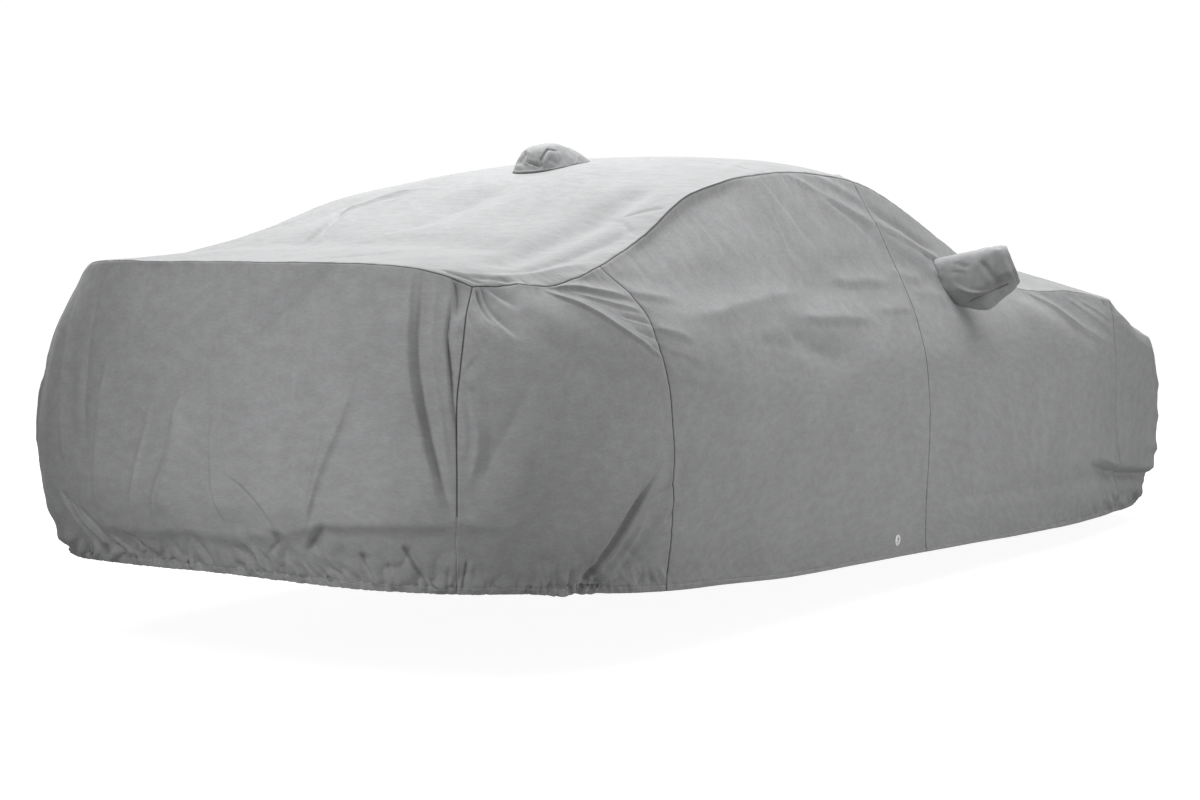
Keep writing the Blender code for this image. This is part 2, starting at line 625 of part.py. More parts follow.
def build():
    clear_scene()
    cover = Cover()
    tree = BVHTree.FromPolygons(cover.points.tolist(), halved(cover.quads).tolist())
    whole = slice(None)
    above = slice(0, cover.rows - STRIP_CELLS)
    strip = slice(cover.rows - STRIP_CELLS - 1, None)
    corner = cover.start_of["tail_corner"]
    quarter = cover.start_of["quarter_seam"]
    door = cover.start_of["door_seam"]
    front = cover.start_of["front_corner"]
    roof_row = cover.start_of["roof_seam"] - corner

    tail = [cover.loop_index(abs(j), j > 0) for j in range(-corner, corner + 1)]
    add_panel(cover, "tail_panel", cover.skirt_ids[:, tail], False)
    nose = [cover.loop_index(front + k, True) for k in range(2 * (cover.last - front) + 1)]
    add_panel(cover, "nose_panel", cover.skirt_ids[:, nose], False)
    rear_top = add_panel(cover, "rear_top_panel", cover.top_ids[: roof_row + 1], True)
    add_panel(cover, "front_top_panel", cover.top_ids[roof_row:], True)
    fronts = {}
    strips = {}
    for left in (False, True):
        side = "left" if left else "right"
        add_panel(cover, f"quarter_panel_{side}", skirt_ids(cover, left, corner, quarter, whole), False)
        add_panel(cover, f"side_panel_{side}", skirt_ids(cover, left, quarter, door, above), False)
        strips[left] = add_panel(
            cover, f"eyelet_strip_{side}", skirt_ids(cover, left, quarter, door, strip), False
        )
        fronts[left] = add_panel(
            cover, f"front_panel_{side}", skirt_ids(cover, left, door, front, whole), False
        )

    for left in (False, True):
        side = "left" if left else "right"
        sign = 1.0 if left else -1.0
        outer = mirror_rings(tree, sign, False)
        inner = mirror_rings(tree, sign, True)
        add_shell(f"mirror_pocket_{side}", outer, inner)
        _, x, z, half_x, half_z, square = MIRROR_SECTIONS["root"]
        angle = np.linspace(0, 2 * math.pi, MIRROR_SIDES, endpoint=False)
        c, s = rounded(angle, square)
        outline = np.column_stack(
            [
                x + (half_x - HOLE_INSET) * c,
                np.full(MIRROR_SIDES, sign * MIRROR_ROOT_Y),
                z + (half_z - HOLE_INSET) * s,
            ]
        )
        cut_hole(fronts[left], f"mirror_hole_{side}", outline, (0, 1, 0), 0.25)

    add_shell("antenna_pocket", antenna_rings(tree, False), antenna_rings(tree, True))
    _, x, half_x, half_y, square = ANTENNA_SECTIONS["root"]
    angle = np.linspace(0, 2 * math.pi, ANTENNA_SIDES, endpoint=False)
    c, s = rounded(angle, square)
    outline = np.column_stack(
        [x + (half_x - HOLE_INSET) * c, (half_y - HOLE_INSET) * s, np.full(ANTENNA_SIDES, 1.35)]
    )
    cut_hole(rear_top, "antenna_hole", outline, (0, 0, 1), 0.2)

    for left, centre, normal in cover.eyelets:
        side = "left" if left else "right"
        across = np.cross(normal, (0, 0, 1))
        across /= np.linalg.norm(across)
        up = np.cross(across, normal)
        angle = np.linspace(0, 2 * math.pi, EYELET_SIDES, endpoint=False)
        spokes = np.cos(angle)[:, None] * across + np.sin(angle)[:, None] * up
        add_eyelet(f"eyelet_ring_{side}", centre, normal, spokes)
        bore = EYELET["hole"] + EYELET["wall"] + SEAM_GAP
        cut_hole(strips[left], f"eyelet_hole_{side}", centre + spokes * bore, normal, 0.02)


build()
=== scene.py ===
import math
from itertools import product

import bpy
import numpy as np
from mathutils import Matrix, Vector
from mathutils.bvhtree import BVHTree


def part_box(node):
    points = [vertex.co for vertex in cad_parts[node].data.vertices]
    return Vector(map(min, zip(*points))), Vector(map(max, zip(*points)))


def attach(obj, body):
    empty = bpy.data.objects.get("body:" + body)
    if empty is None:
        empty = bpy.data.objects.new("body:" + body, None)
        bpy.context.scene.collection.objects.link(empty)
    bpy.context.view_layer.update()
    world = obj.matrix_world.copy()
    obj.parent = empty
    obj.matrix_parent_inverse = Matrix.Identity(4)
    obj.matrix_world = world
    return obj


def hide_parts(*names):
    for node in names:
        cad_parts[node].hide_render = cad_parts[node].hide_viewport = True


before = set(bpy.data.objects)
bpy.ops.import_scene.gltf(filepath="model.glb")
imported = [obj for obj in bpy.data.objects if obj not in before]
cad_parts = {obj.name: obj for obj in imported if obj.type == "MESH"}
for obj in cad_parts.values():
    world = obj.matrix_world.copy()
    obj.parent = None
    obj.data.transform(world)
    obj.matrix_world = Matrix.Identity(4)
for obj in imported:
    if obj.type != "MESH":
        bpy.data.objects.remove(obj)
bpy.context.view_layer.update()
scene = bpy.context.scene
print("frame loaded:", len(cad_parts), "nodes")

# the camera stands where the photograph was taken from
cameraView = {
    "place": (-6.7582, -4.1256, -0.2468), "turn": (85.881, 0.0, -56.4621),
    "lens": 69.537, "sensor": 36.0, "far": 200,
}


def addCamera():
    data = bpy.data.cameras.new("viewCamera")
    data.lens = cameraView["lens"]
    data.sensor_width = cameraView["sensor"]
    data.clip_end = cameraView["far"]
    item = bpy.data.objects.new("viewCamera", data)
    item.location = cameraView["place"]
    item.rotation_euler = [math.radians(angle) for angle in cameraView["turn"]]
    scene.collection.objects.link(item)
    scene.camera = item


addCamera()
print("camera placed")

heldHeight = 1.392  # the held point above the floor; every height below is above the floor
wideHeight = 0.62  # height of the widest line of the skirt
lowRise = 0.15  # the low line above the hem
ringLevels = (0.0, 0.20, 0.50, 0.80, 1.0)  # seam, belt, wide, low and hem lines, as shares of the way down
tailBowPower = 3.6
noseBowPower = 2.6

# stations along one side, from the tail corner to the front corner
flankColumns = (
    "topX", "topY", "topZ", "bow", "crown", "square",
    "wideX", "wideY", "beltIn", "beltZ", "beltShift", "lowIn", "hemIn", "hemZ", "hemShift",
)
flankRows = {
    "tailCorner": (-2.13, 0.677, 1.012, -0.19, 0.062, 8.0,
                   -2.265, 0.728, 0.062, 0.90, 0.0, 0.025, 0.09, 0.249, 0.0),
    "tailShoulder": (-2.03, 0.740, 1.018, -0.12, 0.062, 6.0,
                     -2.122, 0.853, 0.052, 0.89, 0.0, 0.025, 0.09, 0.243, 0.0),
    "haunch": (-1.90, 0.785, 1.032, -0.06, 0.064, 4.5,
               -1.91, 0.917, 0.050, 0.90, 0.0, 0.02, 0.07, 0.227, 0.0),
    "quarterSeam": (-1.73, 0.79, 1.060, -0.02, 0.070, 3.5,
                    -1.62, 0.945, 0.045, 0.90, -0.03, 0.01, 0.035, 0.201, 0.025),
    "rearFlank": (-1.40, 0.72, 1.141, 0.0, 0.062, 3.0,
                  -1.32, 0.955, 0.060, 0.90, -0.02, 0.01, 0.035, 0.183, 0.0),
    "rearPillar": (-1.07, 0.65, 1.250, 0.0, 0.050, 2.6,
                   -0.98, 0.945, 0.070, 0.90, -0.02, 0.01, 0.030, 0.158, 0.0),
    "roofSeam": (-0.50, 0.59, 1.330, 0.0, 0.055, 2.4,
                 -0.50, 0.925, 0.075, 0.90, 0.0, 0.01, 0.025, 0.137, 0.0),
    "roofMiddle": (-0.20, 0.58, 1.336, 0.0, 0.060, 2.4,
                   -0.22, 0.918, 0.075, 0.90, 0.0, 0.01, 0.020, 0.127, 0.0),
    "doorSeam": (0.06, 0.60, 1.314, 0.03, 0.080, 2.4,
                 0.0, 0.915, 0.070, 0.89, -0.02, 0.01, 0.015, 0.120, 0.0),
    "brow": (0.26, 0.625, 1.260, 0.07, 0.112, 2.4,
             0.22, 0.918, 0.065, 0.88, 0.0, 0.01, 0.015, 0.113, 0.0),
    "frontSlope": (0.44, 0.66, 1.180, 0.12, 0.115, 2.4,
                   0.42, 0.922, 0.060, 0.87, 0.0, 0.01, 0.020, 0.106, 0.0),
    "slopeFoot": (0.70, 0.735, 1.035, 0.18, 0.090, 2.6,
                  0.68, 0.930, 0.055, 0.85, 0.0, 0.01, 0.025, 0.096, 0.0),
    "bonnet": (1.00, 0.80, 0.945, 0.20, 0.080, 2.8,
               1.00, 0.940, 0.050, 0.83, 0.0, 0.01, 0.030, 0.088, 0.0),
    "frontFlank": (1.38, 0.825, 0.930, 0.28, 0.090, 2.8,
                   1.33, 0.943, 0.050, 0.81, 0.0, 0.01, 0.035, 0.082, 0.0),
    "frontCorner": (1.67, 0.865, 0.892, 0.68, 0.016, 2.2,
                    1.63, 0.925, 0.020, 0.82, 0.02, 0.01, 0.035, 0.077, 0.05),
}
endColumns = ("across", "wideX", "wideY", "beltIn", "beltZ", "lowIn", "hemIn", "hemZ")
tailRows = {
    "middle": (0.0, -2.415, 0.0, 0.040, 0.90, 0.02, 0.09, 0.262),
    "inner": (0.44, -2.400, 0.32, 0.040, 0.90, 0.02, 0.09, 0.257),
    "outer": (0.80, -2.342, 0.575, 0.050, 0.90, 0.02, 0.09, 0.252),
}
noseRows = {
    "outer": (0.80, 2.210, 0.85, 0.034, 0.795, 0.02, 0.10, 0.080),
    "inner": (0.44, 2.420, 0.44, 0.032, 0.795, 0.02, 0.10, 0.095),
    "middle": (0.0, 2.460, 0.0, 0.032, 0.795, 0.02, 0.10, 0.100),
}


def named(table, columns, name):
    return np.array([row[columns.index(name)] for row in table.values()], float)


def cubic(u, step, start, end, startSlope, endSlope):
    # the cubic with given values and slopes at both ends of a step
    return (
        (2 * u**3 - 3 * u**2 + 1) * start
        + (u**3 - 2 * u**2 + u) * step * startSlope
        + (3 * u**2 - 2 * u**3) * end
        + (u**3 - u**2) * step * endSlope
    )


def smoothCurve(knots, values, at):
    # a cubic between each two knots, whose slopes come from the neighbouring knots
    knots = np.asarray(knots, float)
    slopes = np.gradient(values, knots)
    at = np.asarray(at, float)
    k = np.clip(np.searchsorted(knots, at, side="right") - 1, 0, len(knots) - 2)
    step = knots[k + 1] - knots[k]
    return cubic((at - knots[k]) / step, step, values[k], values[k + 1], slopes[k], slopes[k + 1])


def rampUp(value, width):
    # 0 below nothing, 1 past the width, with a soft start and end
    u = np.clip(value / width, 0, 1)
    return u * u * (3 - 2 * u)


def unit(vectors):
    return vectors / np.maximum(np.linalg.norm(vectors, axis=-1, keepdims=True), 1e-12)


# the values of every station on the half loop, from the tail's middle to the nose's middle
lineNames = ("wideX", "wideY", "beltIn", "beltZ", "lowIn", "hemIn", "hemZ", "beltShift", "hemShift")
lineValues = {}
for lineName in lineNames:
    ends = [
        named(rows, endColumns, lineName) if lineName in endColumns else np.zeros(len(rows))
        for rows in (tailRows, noseRows)
    ]
    lineValues[lineName] = np.concatenate([ends[0], named(flankRows, flankColumns, lineName), ends[1]])
planSteps = np.hypot(np.diff(lineValues["wideX"]), np.diff(lineValues["wideY"]))
knots = np.concatenate([[0.0], np.cumsum(planSteps)])
halfLoop = knots[-1]
flankKnots = knots[len(tailRows) : -len(noseRows)]
flankTable = {name: named(flankRows, flankColumns, name) for name in flankColumns}
stationPlace = {name: flankKnots[i] for i, name in enumerate(flankRows)}
mirrorKnots = np.concatenate([-knots[3:0:-1], knots, 2 * halfLoop - knots[-2:-5:-1]])
mirrorValues = {}
for lineName, values in lineValues.items():
    flip = -1.0 if lineName == "wideY" else 1.0
    mirrorValues[lineName] = np.concatenate([flip * values[3:0:-1], values, flip * values[-2:-5:-1]])
tailAcross = np.append(named(tailRows, endColumns, "across"), 1.0)
noseAcross = np.concatenate([[1.0], named(noseRows, endColumns, "across")])


def wrapped(place):
    # a place around the loop, left positive, right negative, from the tail's middle
    return (place + halfLoop) % (2 * halfLoop) - halfLoop


def lineAt(name, place):
    return smoothCurve(mirrorKnots, mirrorValues[name], place)


def shareAcross(place):
    # how far a place on an end lies from its middle, as a share of the half width
    tailKnots = np.concatenate([-knots[3:0:-1], knots[:4]])
    tailShares = np.concatenate([-tailAcross[:0:-1], tailAcross])
    noseKnots = np.concatenate([knots[-4:], 2 * halfLoop - knots[-2:-5:-1]])
    noseShares = np.concatenate([noseAcross, -noseAcross[-2::-1]])
    tail = smoothCurve(tailKnots, tailShares, np.minimum(place, knots[3]))
    nose = smoothCurve(noseKnots, noseShares, np.maximum(place, knots[-4]))
    return np.where(place < flankKnots[0], tail, np.where(place > flankKnots[-1], nose, 1.0))


def topPoint(place, across):
    # a row's ends plus a bow that dies out towards them, and a crown that does too
    inside = np.clip(place, flankKnots[0], flankKnots[-1])
    value = {name: smoothCurve(flankKnots, flankTable[name], inside) for name in flankColumns[:6]}
    share = (inside - flankKnots[0]) / (flankKnots[-1] - flankKnots[0])
    bowPower = tailBowPower + (noseBowPower - tailBowPower) * share
    off = np.minimum(np.abs(across), 1.0)
    x = value["topX"] + value["bow"] * (1 - off**bowPower)
    z = value["topZ"] + value["crown"] * (1 - off ** value["square"])
    return np.stack([x, value["topY"] * across, z], -1)


def seamPoint(place):
    # the sewn edge of the top, for places of the left side
    return topPoint(place, shareAcross(place))


def skirtPoint(loopPlace, level):
    # a cubic down through the five lines; each line is the widest one moved inwards and along
    loopPlace, level = np.broadcast_arrays(np.asarray(loopPlace, float), np.asarray(level, float))
    turn = wrapped(loopPlace)
    side = np.where(turn < 0, -1.0, 1.0)
    place = np.abs(turn)
    reach = 0.02

    def widest(at):
        return np.stack([lineAt("wideX", at), lineAt("wideY", at)], -1)

    tangent = unit(widest(place + reach) - widest(place - reach))
    normal = np.stack([-tangent[..., 1], tangent[..., 0]], -1)
    wide = widest(place)
    hemZ = lineAt("hemZ", place)
    hemShift = lineAt("hemShift", place)

    def line(inset, shift, height):
        plan = wide - normal * inset[..., None] + tangent * shift[..., None]
        return np.concatenate([plan, height[..., None]], -1)

    none = np.zeros(place.shape)
    rings = np.stack([
        seamPoint(place),
        line(lineAt("beltIn", place), lineAt("beltShift", place), lineAt("beltZ", place)),
        line(none, none, none + wideHeight),
        line(lineAt("lowIn", place), hemShift * 0.5, hemZ + lowRise),
        line(lineAt("hemIn", place), hemShift, hemZ),
    ])
    at = np.asarray(ringLevels)
    slopes = np.gradient(rings, at, axis=0)
    k = np.clip(np.searchsorted(at, level, side="right") - 1, 0, len(at) - 2)
    step = (at[k + 1] - at[k])[..., None]
    u = (level[..., None] - at[k][..., None]) / step

    def taken(values, which):
        return np.take_along_axis(values, which[None, ..., None], axis=0)[0]

    point = cubic(u, step, taken(rings, k), taken(rings, k + 1), taken(slopes, k), taken(slopes, k + 1))
    point[..., 1] *= side
    return point


normalSteps = {"along": 0.002, "across": 0.003}


def skirtNormal(loopPlace, level):
    # across a short step along the loop and a short step down
    ahead, down = normalSteps["along"], normalSteps["across"]
    along = skirtPoint(loopPlace + ahead, level) - skirtPoint(loopPlace - ahead, level)
    level = np.asarray(level, float) + 0.0 * loopPlace
    lower = skirtPoint(loopPlace, np.minimum(level + down, 1))
    upper = skirtPoint(loopPlace, np.maximum(level - down, 0))
    away = unit(np.cross(along, lower - upper))
    turn = wrapped(np.asarray(loopPlace, float) + 0.0 * level)
    place = np.abs(turn)
    outwards = np.stack([lineAt("wideX", place), np.sign(turn) * lineAt("wideY", place), 0 * turn], -1)
    return away * np.where((away * outwards).sum(-1, keepdims=True) < 0, -1.0, 1.0)


def topNormal(place, across):
    # across a short step along the top and a short step sideways
    ahead, aside = normalSteps["along"], normalSteps["across"]
    along = topPoint(place + ahead, across) - topPoint(place - ahead, across)
    left = topPoint(place, np.minimum(across + aside, 1))
    right = topPoint(place, np.maximum(across - aside, -1))
    away = unit(np.cross(along, left - right))
    return away * np.where(away[..., 2:] < 0, -1.0, 1.0)


def topNormalInside(place, across):
    # the same, kept just inside the top's own edges
    edge = normalSteps["across"]
    inside = np.clip(place, flankKnots[0] + edge, flankKnots[-1] - edge)
    return topNormal(inside, np.clip(across, -0.995, 0.995))


# soft random waves: every whole-number corner of space has its own slope, blended by a smooth ramp
noiseDice = np.random.default_rng(41)
noiseOrder = noiseDice.permutation(256)
noiseOrder = np.concatenate([noiseOrder, noiseOrder])
noiseSlopes = unit(noiseDice.normal(size=(256, 3)))


def softNoise(points, seed=0):
    whole = np.floor(points).astype(int)
    part = points - whole
    ease = part**3 * (part * (part * 6 - 15) + 10)
    total = 0.0
    for step in product((0, 1), repeat=3):
        corner = (whole + step) & 255
        pick = noiseOrder[(corner[..., 0] + seed) & 255]
        pick = noiseOrder[noiseOrder[pick + corner[..., 1]] + corner[..., 2]]
        reach = ((part - step) * noiseSlopes[pick]).sum(-1)
        weight = np.where(step, ease, 1 - ease)
        total = total + weight[..., 0] * weight[..., 1] * weight[..., 2] * reach
    return total * 1.6


def waves(first, second, seed):
    # the same soft noise along a line, with a second, slower parameter
    first, second = np.broadcast_arrays(first, second)
    return softNoise(np.stack([first, second, np.full(first.shape, seed * 7.31 + 0.37)], -1), seed)


# main folds: along, height, along, height, width, rise; left positive, right negative, as the loop's places
mainFolds = {
    "rightCornerTroughUpper": (-0.66, 0.93, -0.67, 0.68, 0.035, -0.007),
    "rightCornerTroughLower": (-0.68, 0.68, -0.75, 0.47, 0.035, -0.008),
    "rightCornerRidge": (-0.59, 0.90, -0.61, 0.58, 0.040, 0.010),
    "rightLowRoll": (-0.10, 0.47, -0.62, 0.46, 0.050, 0.008),
    "rightQuarterShoulder": (-0.95, 0.90, -1.36, 0.86, 0.105, 0.014),
    "rightQuarterFan": (-0.84, 0.98, -1.15, 0.80, 0.050, -0.010),
    "rightQuarterUpper": (-1.18, 0.98, -1.42, 0.80, 0.040, 0.006),
    "rightQuarterFold": (-1.10, 0.22, -1.34, 0.56, 0.048, 0.014),
    "rightQuarterTrough": (-1.22, 0.26, -1.46, 0.50, 0.036, -0.010),
    "rightBeltFold": (-1.70, 0.98, -2.90, 1.00, 0.070, -0.008),
    "rightDoorDent": (-1.85, 0.80, -2.35, 0.74, 0.060, -0.008),
    "rightMirrorRidge": (-2.85, 1.26, -3.35, 1.05, 0.045, 0.010),
    "rightBonnetRidge": (-4.00, 0.86, -4.40, 0.70, 0.060, 0.010),
    "rightNoseShoulder": (-5.05, 0.805, -5.70, 0.805, 0.125, -0.058),
    "leftNoseShoulder": (5.10, 0.815, 5.70, 0.815, 0.110, -0.046),
    "rightFrontTrough": (-4.30, 0.24, -4.95, 0.22, 0.050, -0.014),
    "leftCornerRoll": (0.66, 0.86, 0.60, 0.42, 0.060, 0.008),
    "leftLowRoll": (0.12, 0.46, 0.64, 0.45, 0.055, 0.006),
    "leftQuarterFan": (0.86, 0.96, 1.22, 0.76, 0.055, -0.009),
    "leftQuarterFold": (1.26, 0.28, 1.50, 0.60, 0.050, 0.016),
    "leftBeltFold": (1.60, 0.97, 2.80, 0.99, 0.070, -0.008),
    "leftDoorDent": (2.20, 0.72, 2.80, 0.66, 0.070, -0.007),
    "leftBonnetRidge": (3.90, 0.84, 4.35, 0.66, 0.060, 0.010),
    "leftFrontTrough": (4.10, 0.30, 4.60, 0.28, 0.050, -0.012),
}

# finer creases: along, height, along, height, bend, width at start, width at end, rise, lean,
# side troughs
tailCreases = {
    "deepFold": (-0.608, 1.05, -0.732, 0.420, 0.022, 0.009, 0.020, 0.0115, -0.60, 0.0),
    "deepTrough": (-0.634, 1.05, -0.753, 0.430, 0.022, 0.0045, 0.009, -0.0100, -0.2, 0.0),
    "deepFoldRidge": (-0.662, 1.04, -0.748, 0.480, 0.003, 0.011, 0.010, 0.0125, 0.25, 0.2),
    "cornerTuck": (-0.704, 1.05, -0.752, 0.930, 0.0, 0.007, 0.010, -0.0150, 0.3, 0.2),
    "cornerTuckRidge": (-0.705, 1.00, -0.752, 0.84, 0.004, 0.007, 0.007, 0.0060, 0.0, 0.2),
    "seamTuck": (-0.712, 1.00, -0.757, 0.600, -0.008, 0.008, 0.007, -0.0180, 0.2, 0.2),
    "facetOne": (0.045, 0.74, 0.180, 0.385, -0.018, 0.024, 0.030, 0.0160, 0.75, 0.0),
    "facetTwo": (0.150, 0.71, 0.252, 0.405, -0.006, 0.007, 0.008, 0.0060, -0.3, 0.2),
    "facetThree": (0.345, 0.82, 0.386, 0.430, 0.0, 0.014, 0.020, 0.0110, 0.7, 0.2),
    "facetFour": (0.072, 0.65, 0.156, 0.400, -0.006, 0.006, 0.008, -0.0050, 0.4, 0.3),
    "facetFive": (-0.065, 0.67, -0.094, 0.400, 0.012, 0.008, 0.014, 0.0095, 0.7, 0.2),
    "facetSix": (-0.109, 0.54, -0.254, 0.385, -0.040, 0.008, 0.012, 0.0095, 0.6, 0.2),
    "wedgeLeft": (-0.342, 0.420, -0.410, 0.700, 0.004, 0.006, 0.010, -0.0070, 0.0, 0.2),
    "wedgeRight": (-0.340, 0.400, -0.495, 0.800, 0.004, 0.012, 0.028, 0.0150, 0.65, 0.0),
    "slantValley": (-0.410, 1.09, -0.060, 0.800, 0.0, 0.026, 0.050, -0.0110, 0.3, 0.3),
    "slantValleyTwo": (-0.180, 1.00, 0.080, 0.860, 0.0, 0.030, 0.050, -0.0045, 0.3, 0.3),
    "edgeRidge": (0.587, 0.98, 0.520, 0.500, 0.010, 0.012, 0.018, 0.0110, 0.4, 0.3),
    "edgeTrough": (0.451, 1.02, 0.420, 0.560, 0.010, 0.012, 0.018, -0.0075, 0.2, 0.2),
    "lowSlantOne": (0.560, 0.45, 0.470, 0.280, 0.0, 0.008, 0.012, -0.0130, 0.5, 0.4),
    "lowSlantTwo": (0.520, 0.44, 0.400, 0.290, 0.010, 0.006, 0.010, 0.0070, -0.4, 0.4),
    "lowSlantThree": (0.480, 0.41, 0.350, 0.280, 0.006, 0.006, 0.010, -0.0110, 0.4, 0.4),
    "lowSlantFour": (0.430, 0.37, 0.290, 0.268, 0.0, 0.005, 0.008, 0.0050, -0.3, 0.4),
    "lowSlantFive": (0.310, 0.35, 0.215, 0.265, 0.0, 0.005, 0.009, -0.0090, 0.3, 0.4),
    "starOne": (-0.238, 0.400, -0.262, 0.305, 0.0, 0.009, 0.012, -0.0130, 0.4, 0.5),
    "starOneArm": (-0.252, 0.372, -0.190, 0.325, 0.0, 0.005, 0.006, -0.0050, 0.3, 0.4),
    "starTwo": (-0.330, 0.335, -0.405, 0.425, 0.0, 0.011, 0.015, -0.0140, -0.3, 0.4),
    "starTwoArm": (-0.345, 0.375, -0.382, 0.300, 0.0, 0.005, 0.006, -0.0070, 0.3, 0.4),
    "starThree": (-0.480, 0.345, -0.522, 0.280, 0.0, 0.007, 0.008, -0.0110, 0.4, 0.5),
    "starFour": (-0.605, 0.375, -0.662, 0.272, 0.004, 0.006, 0.009, -0.0120, 0.5, 0.5),
    "starFive": (-0.560, 0.330, -0.575, 0.268, 0.0, 0.004, 0.005, -0.0050, 0.3, 0.5),
    "starSix": (-0.120, 0.350, -0.150, 0.275, 0.0, 0.007, 0.008, -0.0100, 0.3, 0.5),
    "cornerBulge": (0.600, 0.41, 0.760, 0.37, 0.0, 0.050, 0.060, 0.0110, 0.0, 0.0),
    "cornerBulgeLow": (0.560, 0.32, 0.760, 0.30, 0.0, 0.034, 0.040, 0.0150, 0.0, 0.0),
}
quarterCreases = {
    "fanLow": (-0.757, 1.04, -0.930, 0.880, 0.0, 0.004, 0.012, -0.0095, 0.4, 0.4),
    "fanHigh": (-0.765, 1.03, -0.940, 0.962, 0.0, 0.004, 0.010, -0.0070, 0.3, 0.5),
    "fanMiddle": (-0.762, 1.01, -0.868, 0.915, 0.0, 0.0035, 0.008, -0.0080, 0.4, 0.5),
    "fanSide": (-0.766, 0.97, -0.850, 0.840, 0.0, 0.004, 0.010, -0.0045, 0.3, 0.5),
    "sweepRidge": (-1.060, 1.010, -1.470, 0.792, -0.010, 0.005, 0.010, 0.0085, 0.5, 0.4),
    "sweepTrough": (-1.090, 1.000, -1.455, 0.815, -0.006, 0.010, 0.016, -0.0035, 0.0, 0.2),
    "upperRidge": (-1.080, 1.020, -1.490, 0.968, -0.012, 0.005, 0.009, 0.0085, 0.5, 0.5),
    "upperRidgeTwo": (-1.190, 0.990, -1.480, 0.935, -0.004, 0.005, 0.008, 0.0050, 0.3, 0.5),
    "seamPuckerOne": (-1.330, 0.928, -1.480, 0.900, 0.0, 0.004, 0.006, -0.0045, 0.3, 0.5),
    "seamPuckerTwo": (-1.350, 0.888, -1.480, 0.858, 0.0, 0.004, 0.006, -0.0036, 0.3, 0.5),
    "seamPuckerThree": (-1.380, 0.846, -1.480, 0.828, 0.0, 0.004, 0.005, -0.0030, 0.3, 0.5),
    "cornerBubble": (-0.782, 0.770, -0.783, 0.530, -0.022, 0.011, 0.013, 0.0110, 0.35, 0.2),
    "bubbleShade": (-0.826, 0.80, -0.812, 0.50, -0.018, 0.020, 0.024, -0.0060, -0.2, 0.0),
    "pinchOne": (-0.738, 0.812, -0.818, 0.752, 0.0, 0.006, 0.008, -0.0065, 0.4, 0.4),
    "pinchTwo": (-0.742, 0.772, -0.822, 0.846, 0.0, 0.006, 0.008, -0.0060, -0.4, 0.4),
    "softValley": (-0.970, 0.81, -0.775, 0.48, 0.0, 0.026, 0.030, -0.0090, 0.0, 0.3),
    "softRise": (-1.000, 0.72, -0.860, 0.45, 0.0, 0.030, 0.040, 0.0030, 0.0, 0.2),
    "pleat": (-1.122, 0.190, -1.385, 0.535, -0.010, 0.020, 0.007, -0.0260, 0.65, 0.1),
    "pleatRidge": (-1.170, 0.195, -1.372, 0.430, -0.006, 0.008, 0.009, 0.0120, -0.3, 0.3),
    "pleatRidgeTwo": (-1.205, 0.225, -1.480, 0.478, 0.014, 0.007, 0.010, 0.0100, 0.3, 0.4),
    "pleatEnd": (-1.395, 0.460, -1.480, 0.500, 0.0, 0.005, 0.007, -0.0070, 0.3, 0.3),
    "lowPleat": (-1.240, 0.250, -1.330, 0.330, 0.0, 0.005, 0.008, -0.0050, 0.3, 0.4),
    "seamPleatOne": (-1.425, 0.395, -1.470, 0.425, 0.0, 0.004, 0.005, -0.0040, 0.3, 0.4),
    "seamPleatTwo": (-1.420, 0.345, -1.470, 0.372, 0.0, 0.004, 0.005, -0.0030, 0.3, 0.4),
    "hemTuckOne": (-1.046, 0.262, -1.052, 0.215, 0.002, 0.004, 0.005, -0.0045, 0.5, 0.4),
    "hemTuckTwo": (-1.067, 0.280, -1.078, 0.215, 0.0, 0.004, 0.005, -0.0050, 0.5, 0.4),
    "hemTuckThree": (-1.100, 0.300, -1.122, 0.215, 0.003, 0.004, 0.006, -0.0060, 0.5, 0.4),
    "hemTuckFour": (-0.980, 0.270, -0.990, 0.230, 0.0, 0.003, 0.004, -0.0035, 0.4, 0.5),
    "hemTuckFive": (-0.780, 0.340, -0.768, 0.245, 0.0, 0.004, 0.006, -0.0070, 0.4, 0.5),
    "hemTuckSix": (-0.835, 0.290, -0.848, 0.240, 0.0, 0.004, 0.005, -0.0035, 0.3, 0.5),
}
